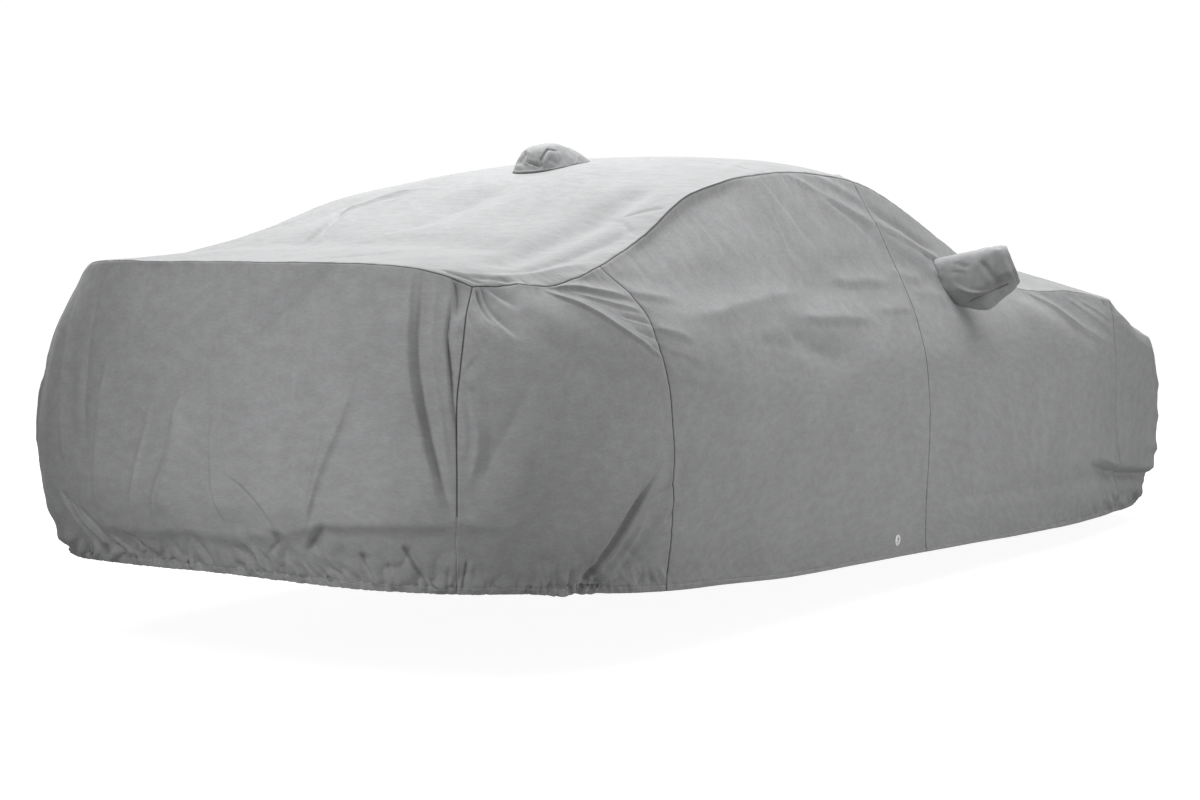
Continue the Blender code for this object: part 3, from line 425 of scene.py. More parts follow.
sideCreases = {
    "mirrorGatherOne": (-3.340, 1.065, -3.440, 1.052, 0.0, 0.004, 0.005, -0.0050, 0.3, 0.4),
    "mirrorGatherTwo": (-3.330, 1.040, -3.430, 1.036, 0.0, 0.004, 0.005, -0.0042, 0.3, 0.4),
    "mirrorGatherThree": (-3.300, 1.010, -3.430, 1.012, 0.0, 0.005, 0.006, 0.0036, 0.3, 0.4),
    "cornerNotch": (-4.630, 0.885, -4.720, 0.838, 0.0, 0.007, 0.009, -0.0100, 0.4, 0.3),
    "pillarValley": (-2.440, 1.320, -1.560, 1.055, 0.010, 0.045, 0.070, -0.0125, 0.0, 0.2),
    "seamFoldOne": (-1.440, 0.990, -1.690, 0.972, 0.0, 0.009, 0.014, 0.0050, 0.3, 0.5),
    "seamFoldTwo": (-1.440, 0.900, -1.630, 0.862, 0.0, 0.008, 0.014, 0.0048, 0.3, 0.5),
    "seamFoldThree": (-1.450, 0.842, -1.650, 0.800, 0.0, 0.008, 0.014, 0.0035, 0.3, 0.5),
    "seamFoldFour": (-1.455, 0.780, -1.640, 0.735, 0.0, 0.008, 0.016, 0.0022, 0.3, 0.5),
    "streakOne": (-2.420, 1.34, -2.310, 1.10, 0.0, 0.012, 0.030, -0.0026, 0.3, 0.4),
    "streakTwo": (-2.505, 1.24, -2.475, 1.05, 0.0, 0.008, 0.022, -0.0034, 0.5, 0.4),
    "streakThree": (-2.520, 1.34, -2.650, 1.08, 0.0, 0.010, 0.022, -0.0026, 0.4, 0.4),
    "streakFour": (-2.090, 1.23, -2.120, 1.06, 0.0, 0.010, 0.020, -0.0024, 0.0, 0.4),
    "roofTrough": (-2.790, 1.300, -3.090, 1.080, -0.010, 0.010, 0.020, -0.0050, 0.3, 0.3),
    "roofRidge": (-2.690, 1.340, -3.140, 1.140, 0.006, 0.006, 0.010, 0.0070, 0.5, 0.4),
    "roofRidgeTwo": (-2.850, 1.345, -3.110, 1.225, 0.0, 0.008, 0.012, 0.0050, 0.2, 0.5),
    "mirrorRidge": (-3.060, 1.190, -3.520, 1.035, 0.004, 0.007, 0.010, 0.0085, 0.5, 0.3),
    "mirrorTrough": (-3.080, 1.235, -3.520, 1.062, 0.0, 0.010, 0.010, -0.0085, 0.3, 0.2),
    "mirrorFold": (-3.060, 1.020, -3.260, 0.990, 0.0, 0.008, 0.012, 0.0045, 0.3, 0.5),
    "mirrorFoldTwo": (-3.150, 0.960, -3.430, 0.925, 0.0, 0.012, 0.016, 0.0035, 0.0, 0.5),
    "beltLensOne": (-2.640, 1.000, -3.060, 0.988, 0.0, 0.012, 0.016, 0.0075, 0.5, 0.5),
    "beltLensTwo": (-2.300, 0.900, -2.800, 0.878, 0.0, 0.018, 0.020, 0.0075, 0.5, 0.5),
    "beltLensThree": (-2.850, 0.904, -3.140, 0.896, 0.0, 0.010, 0.012, 0.0036, 0.5, 0.5),
    "beltLensFour": (-1.640, 0.915, -2.500, 0.985, 0.0, 0.028, 0.034, 0.0090, 0.2, 0.4),
    "doorDent": (-2.180, 0.865, -2.560, 0.745, 0.0, 0.030, 0.040, -0.0095, 0.0, 0.3),
    "doorSlope": (-1.900, 0.850, -2.700, 0.770, 0.0, 0.034, 0.046, -0.0070, 0.0, 0.4),
    "lowDrift": (-2.250, 0.560, -2.900, 0.480, 0.0, 0.050, 0.070, -0.0035, 0.0, 0.3),
    "bonnetRidgeOne": (-4.060, 0.945, -4.400, 0.780, 0.0, 0.006, 0.014, 0.0045, 0.5, 0.5),
    "bonnetRidgeTwo": (-4.140, 0.915, -4.700, 0.700, 0.020, 0.006, 0.014, 0.0070, 0.5, 0.5),
    "bonnetRidgeThree": (-4.340, 0.910, -4.700, 0.745, 0.0, 0.005, 0.010, 0.0045, 0.5, 0.5),
    "bonnetRidgeFour": (-4.440, 0.900, -4.660, 0.810, 0.0, 0.004, 0.007, 0.0035, 0.4, 0.5),
    "lowFold": (-4.380, 0.305, -5.320, 0.190, 0.030, 0.009, 0.016, -0.0260, -0.75, 0.0),
    "lowFoldRidge": (-4.420, 0.328, -5.280, 0.222, 0.030, 0.012, 0.018, 0.0150, 0.4, 0.0),
    "lowCrease": (-3.060, 0.282, -4.400, 0.226, 0.0, 0.020, 0.026, -0.0038, 0.3, 0.3),
    "frontSeamFold": (-4.560, 0.60, -4.740, 0.52, 0.0, 0.010, 0.014, 0.0045, 0.0, 0.5),
    "frontSeamFoldTwo": (-4.600, 0.45, -4.730, 0.40, 0.0, 0.010, 0.012, 0.0040, 0.0, 0.5),
}
noseCreases = {
    "cheekRidge": (-4.640, 0.640, -5.090, 0.405, 0.0, 0.007, 0.014, 0.0065, 0.5, 0.5),
    "cheekRidgeTwo": (-4.730, 0.800, -5.250, 0.640, 0.0, 0.010, 0.018, 0.0035, 0.3, 0.5),
    "cheekRidgeThree": (-4.850, 0.665, -5.300, 0.500, 0.0, 0.010, 0.018, 0.0050, 0.3, 0.5),
    "cheekRidgeFour": (-4.900, 0.520, -5.250, 0.385, 0.0, 0.010, 0.018, 0.0060, 0.3, 0.5),
    "cheekRidgeFive": (-4.960, 0.330, -5.300, 0.270, 0.0, 0.012, 0.018, 0.0090, 0.2, 0.4),
    "noseDrop": (-5.480, 0.80, -5.700, 0.30, 0.0, 0.016, 0.030, -0.0060, 0.2, 0.4),
    "noseDropTwo": (-5.820, 0.78, -5.900, 0.25, 0.0, 0.014, 0.026, 0.0045, 0.2, 0.5),
    "noseMiddle": (6.140, 0.80, 6.080, 0.22, 0.0, 0.014, 0.028, -0.0050, 0.2, 0.4),
    "noseRoll": (-5.40, 0.36, 5.50, 0.34, 0.0, 0.030, 0.030, 0.0060, 0.4, 0.3),
    "noseTuckOne": (-5.30, 0.22, -5.33, 0.085, 0.0, 0.008, 0.012, -0.0090, 0.0, 0.5),
    "noseTuckTwo": (-5.55, 0.20, -5.53, 0.090, 0.0, 0.008, 0.010, -0.0080, 0.0, 0.5),
    "noseTuckThree": (-5.86, 0.23, -5.89, 0.095, 0.0, 0.008, 0.012, -0.0090, 0.0, 0.5),
}


otherSideDraw = {"along": 0.05, "height": 0.02, "weakest": 0.55}


def otherSide(table, seed):
    # the same kinds of crease on the other side, each moved and weakened a little
    dice = np.random.default_rng(seed)
    draw = otherSideDraw
    made = {}
    for name, row in table.items():
        along = dice.uniform(-draw["along"], draw["along"])
        height = dice.uniform(-draw["height"], draw["height"])
        rise = row[7] * dice.uniform(draw["weakest"], 1.0)
        ends = (-row[0] + along, row[1] + height, -row[2] + along, row[3] + height)
        made[name + "Other"] = (*ends, -row[4], row[5], row[6], rise, -row[8], row[9])
    return made


leftCreases = {}
for creaseTable, tableSeed in ((quarterCreases, 5), (sideCreases, 9), (noseCreases, 12)):
    leftCreases.update(otherSide(creaseTable, tableSeed))

# creases of the top, seen from above: x, y, x, y, then as above
topFolds = {
    "rightPillar": (-1.90, -0.62, -1.15, -0.52, 0.055, -0.018),
    "leftPillar": (-1.85, 0.60, -1.20, 0.48, 0.070, -0.012),
    "deckFront": (-1.78, -0.45, -1.78, 0.45, 0.090, -0.012),
    "slopeRight": (-1.55, -0.25, -0.85, -0.15, 0.080, 0.007),
    "slopeLeft": (-1.60, 0.28, -1.00, 0.30, 0.090, 0.008),
    "browDip": (0.42, -0.45, 0.42, 0.45, 0.070, -0.008),
    "slopeDip": (0.98, -0.55, 0.98, 0.55, 0.080, -0.016),
    "bonnetRight": (1.20, -0.45, 1.85, -0.40, 0.090, 0.008),
    "bonnetLeft": (1.20, 0.42, 1.80, 0.46, 0.090, 0.007),
}
topCreases = {
    "pillarBand": (-2.040, -0.690, -1.360, -0.668, -0.020, 0.026, 0.034, -0.0110, 0.0, 0.3),
    "seamBand": (-2.090, -0.690, -1.720, -0.768, 0.0, 0.010, 0.014, 0.0060, 0.0, 0.3),
    "pillarNick": (-1.300, -0.560, -1.425, -0.700, 0.0, 0.009, 0.012, -0.0070, 0.2, 0.5),
    "pillarNickTwo": (-1.310, -0.572, -1.180, -0.660, 0.0, 0.008, 0.010, -0.0055, 0.2, 0.5),
    "slantCrease": (-1.780, 0.180, -1.280, 0.460, -0.030, 0.010, 0.014, -0.0125, 0.3, 0.6),
    "slantRidge": (-1.370, 0.410, -1.140, 0.240, 0.010, 0.014, 0.018, 0.0080, 0.0, 0.4),
    "middleValley": (-1.660, -0.045, -1.060, -0.060, 0.0, 0.040, 0.060, -0.0095, 0.0, 0.3),
    "cornerTuck": (-2.165, -0.610, -2.100, -0.700, 0.0, 0.005, 0.007, -0.0055, 0.0, 0.5),
    "cornerTuckTwo": (-2.125, -0.655, -2.010, -0.745, 0.0, 0.005, 0.007, -0.0050, 0.0, 0.5),
    "dart": (-2.000, -0.722, -1.985, -0.800, 0.0, 0.003, 0.003, -0.0035, 0.0, 0.0),
    "deckPull": (-2.200, -0.200, -1.900, -0.320, 0.0, 0.016, 0.024, -0.0055, 0.0, 0.4),
    "deckPullTwo": (-2.210, 0.240, -1.930, 0.330, 0.0, 0.016, 0.024, 0.0055, 0.0, 0.4),
    "leftNick": (-1.330, 0.580, -1.470, 0.690, 0.0, 0.010, 0.012, -0.0060, 0.2, 0.5),
    "leftCornerTuck": (-2.160, 0.600, -2.060, 0.710, 0.0, 0.006, 0.008, -0.0055, 0.0, 0.5),
    "roofPull": (-0.620, -0.520, -0.250, -0.380, 0.0, 0.014, 0.022, 0.0030, 0.0, 0.5),
    "roofPullTwo": (-0.300, 0.540, 0.050, 0.400, 0.0, 0.014, 0.022, 0.0030, 0.0, 0.5),
    "screenPullRight": (0.060, -0.560, 0.560, -0.300, 0.020, 0.012, 0.028, 0.0060, 0.3, 0.5),
    "screenPullLeft": (0.100, 0.570, 0.620, 0.340, -0.020, 0.012, 0.028, 0.0065, -0.3, 0.5),
    "screenCross": (0.400, -0.500, 0.860, 0.100, 0.030, 0.016, 0.030, -0.0045, 0.0, 0.4),
    "footPullRight": (0.760, -0.700, 1.140, -0.350, 0.0, 0.010, 0.026, -0.0065, 0.3, 0.5),
    "footPullLeft": (0.780, 0.700, 1.180, 0.320, 0.0, 0.010, 0.026, -0.0065, -0.3, 0.5),
    "bonnetPullRight": (1.050, -0.760, 1.600, -0.520, 0.0, 0.010, 0.022, 0.0055, 0.3, 0.5),
    "bonnetPullLeft": (1.080, 0.760, 1.680, 0.500, 0.0, 0.010, 0.022, 0.0055, -0.3, 0.5),
    "bonnetMiddle": (1.250, 0.060, 2.150, -0.020, 0.030, 0.024, 0.040, 0.0040, 0.0, 0.4),
    "noseCross": (2.020, -0.520, 2.160, 0.100, 0.040, 0.016, 0.020, -0.0040, 0.0, 0.4),
}


def foldRise(table, first, second, around=False):
    # each main fold is a soft ridge along a line, which fades past its ends
    total = np.zeros(np.broadcast(first, second).shape)
    for a1, b1, a2, b2, width, rise in table.values():
        length = math.hypot(a2 - a1, b2 - b1)
        da, db = (a2 - a1) / length, (b2 - b1) / length
        away = wrapped(first - a1) if around else first - a1
        along = away * da + (second - b1) * db
        off = -away * db + (second - b1) * da
        past = np.maximum(np.maximum(-along, along - length), 0)
        total = total + rise * np.exp(-((off / width) ** 2) - (past / (1.6 * width)) ** 2)
    return total


creaseShape = {
    "lean": 1.2, "fall": 1.35, "blunt": 0.35, "bluntSquare": 0.1225, "troughShare": 0.5, "troughAt": 2.4,
    "past": 0.04, "startTaper": 0.26, "endTaper": 0.34,
}


def creaseRise(table, first, second, around=False):
    # across a bent line the cloth falls away exponentially from a blunted crest, faster on the side
    # it leans to, with shallow troughs beside it and tapered ends
    form = creaseShape
    total = np.zeros(np.broadcast(first, second).shape)
    for a1, b1, a2, b2, bend, widthStart, widthEnd, rise, lean, trough in table.values():
        span = wrapped(a2 - a1) if around else a2 - a1
        length = math.hypot(span, b2 - b1)
        da, db = span / length, (b2 - b1) / length
        away = wrapped(first - a1) if around else first - a1
        share = (away * da + (second - b1) * db) / length
        near = np.clip(share, 0, 1)
        off = -away * db + (second - b1) * da - bend * 4 * near * (1 - near)
        width = widthStart + (widthEnd - widthStart) * near
        u = off / (width * np.exp(np.where(off > 0, -form["lean"], form["lean"]) * lean))
        crest = np.exp(form["fall"] * (form["blunt"] - np.sqrt(u * u + form["bluntSquare"])))
        beside = trough * form["troughShare"] * np.exp(-((np.abs(u) - form["troughAt"]) ** 2))
        taper = rampUp(share + form["past"], form["startTaper"])
        taper = taper * rampUp(1 + form["past"] - share, form["endTaper"])
        total = total + rise * (crest - beside) * taper
    return total


# how strongly the elastic gathers the hem around the loop: place, share; and how strong seams pucker
hemGather = {
    "place": (-6.2, -5.0, -4.75, -4.4, -3.0, -1.50, -1.40, -1.15, -0.98, -0.90, -0.76, -0.30, 0.0, 0.25, 0.50,
              0.75, 0.95, 1.15, 1.45, 1.60, 3.0, 4.4, 4.75, 5.0, 6.2),
    "share": (1.0, 1.0, 0.7, 0.2, 0.06, 0.10, 0.40, 0.55, 0.50, 0.25, 0.6, 0.85, 0.60, 0.8, 0.9, 0.6,
              0.8, 1.0, 0.8, 0.12, 0.06, 0.2, 0.7, 1.0, 1.0),
}
hemSlant = {"place": (-6.2, -4.7, -1.5, -1.05, -0.75, -0.35, -0.15, 0.10, 0.35, 0.60, 0.80, 1.3, 6.2),
            "lean": (0.3, -0.4, -0.7, -0.3, 0.2, -0.5, -0.2, 0.3, 0.6, 0.8, 0.4, 0.5, -0.3)}
breakLine = {"place": (-0.95, -0.76, -0.55, -0.40, -0.30, -0.10, 0.05, 0.28, 0.40, 0.50, 0.62),
             "height": (0.42, 0.440, 0.437, 0.428, 0.405, 0.375, 0.385, 0.370, 0.370, 0.36, 0.34),
             "share": (0.0, 1.0, 1.0, 1.0, 0.6, 0.6, 0.8, 0.8, 0.6, 0.2, 0.0)}
sewn = {
    "groove": 0.0024, "grooveWidth": 0.0026, "gap": 0.0005, "allowance": 0.010, "pucker": 0.0016,
    "mitre": 0.016, "wobbleFade": 0.05,
}
cornerGather = {"pitch": 0.0135, "rise": 0.0013, "lowest": 0.47, "highest": 0.76, "fade": 0.026}
hem = {"band": 0.021, "thick": 0.0009, "stitchDip": 0.0010, "fold": 0.0040}
# how far each sewn line sways forward (+) from its station, by height: the real seams aren't quite plane
seamSway = {
    "tailCorner": {
        "height": (0.25, 0.35, 0.55, 0.66, 0.74, 0.82, 0.90, 1.02),
        "shift": (0.0, 0.0, 0.001, 0.001, 0.006, 0.018, 0.024, 0.0), "reach": 0.17,
    },
    "quarterSeam": {
        "height": (0.20, 0.40, 0.54, 0.73, 0.815, 0.88, 0.94, 0.985, 1.06),
        "shift": (-0.002, -0.001, 0.007, 0.007, -0.008, -0.004, 0.018, 0.022, 0.004), "reach": 0.17,
    },
    "doorSeam": {
        "height": (0.12, 0.20, 0.43, 0.69, 0.90, 1.14, 1.31),
        "shift": (0.020, 0.010, -0.002, 0.002, 0.046, 0.031, 0.0), "reach": 0.45,
    },
    "frontCorner": {
        "height": (0.08, 0.15, 0.21, 0.27, 0.32, 0.42, 0.64, 0.80, 0.89),
        "shift": (0.030, 0.046, 0.006, 0.030, 0.010, -0.024, -0.034, -0.040, 0.0), "reach": 0.45,
    },
}
eyeletRow = {
    "x": -0.197, "z": 0.180, "hole": 0.0070, "flange": 0.018, "lip": 0.0018, "cut": 0.0115,
    "ringNear": 0.03, "flatNear": 0.055, "flatFar": 0.125,
}


def swayOf(loopPlace, height):
    # every sewn line's sway, fading out between the lines
    place = np.abs(wrapped(loopPlace))
    total = np.zeros(np.broadcast(place, height).shape)
    for name, row in seamSway.items():
        heights = np.array(row["height"])
        shift = smoothCurve(heights, np.array(row["shift"]), np.clip(height, heights[0], heights[-1]))
        total = total + shift * rampUp(row["reach"] - np.abs(place - stationPlace[name]), row["reach"])
    return total * np.where(wrapped(loopPlace) < 0, -1.0, 1.0)


# where the sewn edge of the top sags or lifts by more than its wobble: place, rise
seamDrift = {
    "place": (-1.45, -1.33, -1.21, -1.14, -1.085, -1.025, -0.956, -0.86, -0.79,
              0.79, 0.92, 1.08, 1.22, 1.40),
    "rise": (0.0, -0.006, -0.013, -0.018, -0.016, -0.008, 0.001, -0.003, 0.0,
             0.0, -0.006, 0.003, -0.010, 0.0),
}


def seamWobble(loopPlace):
    # the sewn edge of the top isn't drawn quite straight: a small rise and fall, none at the four corners
    turn = wrapped(loopPlace)
    place = np.abs(turn)
    calm = rampUp(np.abs(place - flankKnots[0]), 0.10) * rampUp(np.abs(place - flankKnots[-1]), 0.10)
    rise = 0.0022 * waves(turn * 7.0, 0.0 * turn, 3) + 0.0010 * waves(turn * 22.0, 0.0 * turn, 4)
    drift = np.interp(turn, seamDrift["place"], seamDrift["rise"])
    return np.stack([0 * turn, 0 * turn, rise * calm + drift], -1)


gather = {
    "wander": 0.35, "tuck": 0.0034, "tuckPitch": 0.027, "tuckWidth": 0.13, "tuckFade": 0.022,
    "roll": 0.0024, "rollPitch": 0.045, "rollFade": 0.045,
}
crumples = {
    "large": {
        "rise": 0.0390, "pitch": 0.058, "offset": 0.0, "tall": 0.110, "start": 0.030, "fade": 0.105,
        "seed": 20,
    },
    "small": {
        "rise": 0.0220, "pitch": 0.026, "offset": 3.0, "tall": 0.060, "start": 0.015, "fade": 0.070,
        "seed": 23,
    },
}
breakFold = {
    "lip": 0.0045, "lipWidth": 0.022, "drop": 0.0085, "dropStart": 0.045, "deep": 0.17, "deepFade": 0.10,
}
# rise, stretch and seed of the soft noises that every panel has
clothWaves = {
    "swell": (0.0042, (2.1, 2.1, 2.6), 21), "smallSwell": (0.0016, (5.2, 5.2, 4.4), 22),
    "streak": (0.00030, (13.0, 13.0, 2.6), 23), "fineStreak": (0.00008, (36.0, 36.0, 6.0), 24),
    "fine": (0.00018, (60.0, 60.0, 42.0), 26),
}
clothCrumple = (0.0007, (11.0, 11.0, 14.0), 25, 0.35)


def gatherRise(turn, above):
    # narrow tucks at the elastic that widen and fade upwards, between rounder rolls
    row = gather
    share = np.interp(turn, hemGather["place"], hemGather["share"])
    lean = turn + row["wander"] * above * waves(turn * 6.0, 0 * above, 8)
    tucks = waves(lean / row["tuckPitch"], above * 4.0, 11) / row["tuckWidth"]
    narrow = np.exp(-(tucks**2)) * np.exp(-above / row["tuckFade"])
    roll = waves(lean / row["rollPitch"], above * 6.0, 17) * np.exp(-above / row["rollFade"])
    return share * (row["roll"] * roll - row["tuck"] * narrow)


def crumpleRise(turn, above):
    # stiff cloth crushed above the elastic: flats between sharp valleys, along a slant that changes
    # along the hem
    share = np.interp(turn, hemGather["place"], hemGather["share"])
    slant = np.interp(turn, hemSlant["place"], hemSlant["lean"])
    run = turn + slant * above + 0.010 * waves(turn * 9.0, above * 9.0, 19)
    total = 0.0
    for row in crumples.values():
        flats = np.abs(waves(run / row["pitch"] + row["offset"], above / row["tall"], row["seed"]))
        band = rampUp(above, row["start"]) * np.exp(-((above / row["fade"]) ** 2))
        total = total + row["rise"] * (flats - 0.27) * band
    return share * total


def breakRise(turn, height):
    # below a soft level line the cloth of the tail turns in under itself more steeply
    row = breakFold
    line = np.interp(turn, breakLine["place"], breakLine["height"])
    share = np.interp(turn, breakLine["place"], breakLine["share"])
    below = line - height
    lip = row["lip"] * np.exp(-((below / row["lipWidth"]) ** 2))
    drop = row["drop"] * rampUp(below, row["dropStart"]) * rampUp(row["deep"] - below, row["deepFade"])
    return share * (lip - drop)


def seamPucker(along, gap, seed, reach=0.030):
    # short ripples square to a sewn line, none on the line itself
    return waves(along / 0.022, gap * 9.0, seed) * rampUp(gap, 0.010) * np.exp(-gap / reach)


def clothRise(point):
    # broad swells, upright streaks and a faint crumple, the same for every panel
    def wave(name):
        rise, stretch, seed = clothWaves[name]
        return rise * softNoise(point * stretch, seed)

    rise, stretch, seed, level = clothCrumple
    crumple = rise * (level - np.abs(softNoise(point * stretch, seed)))
    broad = (wave("swell") + wave("smallSwell")) + (wave("streak") + wave("fineStreak"))
    return broad + crumple + wave("fine")


def spreadBetween(start, end, cell, startEdges, endEdges):
    # even cells between two places, with closer lines at given distances from either end
    length = end - start
    first, last = startEdges[-1], length - endEdges[-1]
    count = max(2, int(round((last - first) / cell)))
    middle = np.linspace(first, last, count + 1)[1:-1]
    return start + np.sort(np.concatenate([startEdges, middle, length - np.asarray(endEdges)]))


seamSteps = (0.0, 0.0016, 0.0036, 0.0065, 0.0105)
hemSteps = (0.0, 0.003, 0.008, 0.015, 0.0195, 0.021, 0.0225, 0.026)
print("shape functions ready")


def newMaterial(name, constants):
    material = bpy.data.materials.new(name)
    material.use_nodes = True
    shader = material.node_tree.nodes["Principled BSDF"]
    for key, value in constants.items():
        shader.inputs[key].default_value = value
    return material, material.node_tree, shader


def addNode(tree, kind, sockets, **settings):
    # a node with its settings, then its sockets, each either linked or given a value
    made = tree.nodes.new(kind)
    for key, value in settings.items():
        setattr(made, key, value)
    for key, value in sockets.items():
        if isinstance(value, bpy.types.NodeSocket):
            tree.links.new(value, made.inputs[key])
        else:
            made.inputs[key].default_value = value
    return made


def clothMaterial():
    # pressed non-woven cloth: fibre grain on the cloth's own map, faint bands, a colour a little darker
    # towards the hem, sewn lines darkened partly as thread and partly as painted shade in their grooves,
    # stitches
    look = clothLook
    material, tree, shader = newMaterial("coverCloth", look["constants"])
    uv = addNode(tree, "ShaderNodeUVMap", {}, uv_map="cloth").outputs["UV"]

    def noise(stretch, scale, detail, rough):
        place = addNode(tree, "ShaderNodeMapping", {"Scale": stretch, "Vector": uv}).outputs["Vector"]
        sockets = {"Scale": scale, "Detail": detail, "Roughness": rough, "Vector": place}
        return addNode(tree, "ShaderNodeTexNoise", sockets).outputs["Fac"]

    def maths(operation, a, b=None):
        sockets = {0: a} if b is None else {0: a, 1: b}
        return addNode(tree, "ShaderNodeMath", sockets, operation=operation).outputs[0]

    def rangeOf(value, low, high, toLow, toHigh):
        sockets = {"From Min": low, "From Max": high, "To Min": toLow, "To Max": toHigh, "Value": value}
        made = addNode(tree, "ShaderNodeMapRange", sockets, clamp=True, interpolation_type="SMOOTHSTEP")
        return made.outputs["Result"]

    fields = {name: noise(*row[:4]) for name, row in look["noise"].items()}
    shade = None
    for name, row in look["noise"].items():
        if row[4]:
            part = rangeOf(fields[name], 0.25, 0.75, -row[4], row[4])
            shade = part if shade is None else maths("ADD", shade, part)
    seamGap = addNode(tree, "ShaderNodeAttribute", {}, attribute_name="seamGap").outputs["Fac"]
    hemGap = addNode(tree, "ShaderNodeAttribute", {}, attribute_name="hemGap").outputs["Fac"]
    # painted shade: near every sewn line the colour darkens, partly as the thread's own colour and partly as
    # the shade of the seam's groove
    seamShade = rangeOf(seamGap, *look["seamShade"])
    # the colour grows a little darker towards the hem
    dusty = rangeOf(hemGap, *look["dust"])
    # stitches: a dash every few millimetres along the hem's sewn line
    along = addNode(tree, "ShaderNodeSeparateXYZ", {"Vector": uv}).outputs["X"]
    run = maths("FRACT", maths("MULTIPLY", along, 1 / look["stitchPitch"]))
    offLine = maths("ABSOLUTE", maths("SUBTRACT", hemGap, hem["band"]))
    dash = maths("LESS_THAN", run, look["stitchShare"])
    onLine = maths("LESS_THAN", offLine, look["stitchHalf"])
    stitch = maths("MULTIPLY", dash, onLine)
    value = maths("MULTIPLY", maths("ADD", 1.0, shade), maths("MULTIPLY", seamShade, dusty))
    value = maths("MULTIPLY", value, maths("SUBTRACT", 1.0, maths("MULTIPLY", stitch, look["stitchShade"])))
    sockets = {"Factor": 1.0, "A": (*look["colour"], 1.0), "B": value}
    tint = addNode(tree, "ShaderNodeMix", sockets, data_type="RGBA", blend_type="MULTIPLY")
    tree.links.new(tint.outputs["Result"], shader.inputs["Base Color"])

    height = maths("MULTIPLY", fields["fibresAcross"], 0.5)
    height = maths("ADD", height, maths("MULTIPLY", fields["fibresUp"], 0.5))
    height = maths("ADD", height, maths("MULTIPLY", fields["grain"], 0.6))
    height = maths("ADD", height, maths("MULTIPLY", stitch, -0.5))
    relief = maths("ADD", fields["mottle"], maths("MULTIPLY", fields["streak"], 0.15))
    broad = addNode(tree, "ShaderNodeBump", {**look["broadBump"], "Height": relief}).outputs["Normal"]
    bump = addNode(tree, "ShaderNodeBump", {**look["fineBump"], "Height": height, "Normal": broad})
    tree.links.new(bump.outputs["Normal"], shader.inputs["Normal"])
    return material


clothLook = {
    "colour": (0.300, 0.302, 0.306),
    "constants": {
        "Roughness": 0.86, "Sheen Weight": 0.12, "Sheen Roughness": 0.45, "Specular IOR Level": 0.22,
    },
    "noise": {
        "blotch": ((1, 1, 1), 5.0, 3.0, 0.5, 0.04),
        "mottle": ((21, 34, 1), 1.0, 5.0, 0.60, 0.075),
        "streak": ((170, 9, 1), 1.0, 3.0, 0.6, 0.018),
        "threads": ((75, 190, 1), 1.0, 3.0, 0.62, 0.062),
        "grain": ((1, 1, 1), 420.0, 4.0, 0.65, 0.05),
        "fibresAcross": ((180, 620, 1), 1.0, 3.0, 0.6, 0.0),
        "fibresUp": ((560, 150, 1), 1.0, 3.0, 0.6, 0.0),
    },
    "seamShade": (0.0006, 0.0034, 0.33, 1.0), "dust": (0.0, 0.22, 0.965, 1.0),
    "stitchPitch": 0.0042, "stitchShare": 0.68, "stitchHalf": 0.0007, "stitchShade": 0.38,
    "broadBump": {"Strength": 0.75, "Distance": 0.0008}, "fineBump": {"Strength": 0.35, "Distance": 0.0006},
}
cloth = clothMaterial()
pieces = {}


def facesInwards(points, quad, outwards):
    # the cross product of a quad's diagonals points along its face
    face = np.cross(points[quad[2]] - points[quad[0]], points[quad[3]] - points[quad[1]])
    return face @ outwards < 0


def addLayers(mesh, uv, gaps):
    # the cloth's own map, the distances that its material reads, and the material
    corner = np.empty(len(mesh.loops), np.int32)
    mesh.loops.foreach_get("vertex_index", corner)
    layer = mesh.uv_layers.new(name="cloth")
    layer.data.foreach_set("uv", uv[corner].astype(np.float32).ravel())
    for key, values in gaps.items():
        made = mesh.attributes.new(key, "FLOAT", "POINT")
        made.data.foreach_set("value", values.astype(np.float32))
    mesh.materials.append(cloth)


def keepPiece(name, mesh):
    item = bpy.data.objects.new(name, mesh)
    scene.collection.objects.link(item)
    pieces[name] = item
    return item


def addSurface(name, points, uv, gaps, keep, outwards):
    # quads of a grid of points, turned so that they face outwards, with the faces that aren't kept left out
    rows, columns = points.shape[:2]
    ids = np.arange(rows * columns).reshape(rows, columns)
    quads = np.stack([ids[:-1, :-1], ids[1:, :-1], ids[1:, 1:], ids[:-1, 1:]], -1)
    flat = points.reshape(-1, 3)
    if facesInwards(flat, quads[rows // 2, columns // 2], outwards):
        quads = quads[..., ::-1]
    quads = quads[keep] if keep is not None else quads.reshape(-1, 4)
    used = np.unique(quads)
    renumber = np.zeros(rows * columns, int)
    renumber[used] = np.arange(len(used))
    quads = renumber[quads]
    mesh = bpy.data.meshes.new(name)
    mesh.vertices.add(len(used))
    mesh.vertices.foreach_set("co", (flat[used] - (0, 0, heldHeight)).astype(np.float32).ravel())
    mesh.loops.add(quads.size)
    mesh.loops.foreach_set("vertex_index", quads.astype(np.int32).ravel())
    mesh.polygons.add(len(quads))
    mesh.polygons.foreach_set("loop_start", np.arange(0, quads.size, 4, dtype=np.int32))
    mesh.polygons.foreach_set("use_smooth", np.ones(len(quads), bool))
    mesh.update()
    addLayers(mesh, uv.reshape(-1, 2)[used], {key: values.ravel()[used] for key, values in gaps.items()})
    return keepPiece(name, mesh)


# how the hem turns in: shares of the fold's depth, and heights above the hem's edge
hemTurn = {
    "under": (0.30, -0.0008), "round": (0.75, -0.0008), "inside": (1.0, 0.002), "halfway": (1.0, 0.014),
    "edge": (1.1, 0.028),
}


def carriedIn(count, first, last):
    # a grid's lines with two more at each sewn edge, and how far every line is carried inwards
    full, part = sewn["allowance"], sewn["allowance"] * 0.35
    pick = [0, 0] * first + list(range(count)) + [count - 1, count - 1] * last
    deep = [full, part] * first + [0.0] * count + [part, full] * last
    return np.array(pick), np.array(deep)


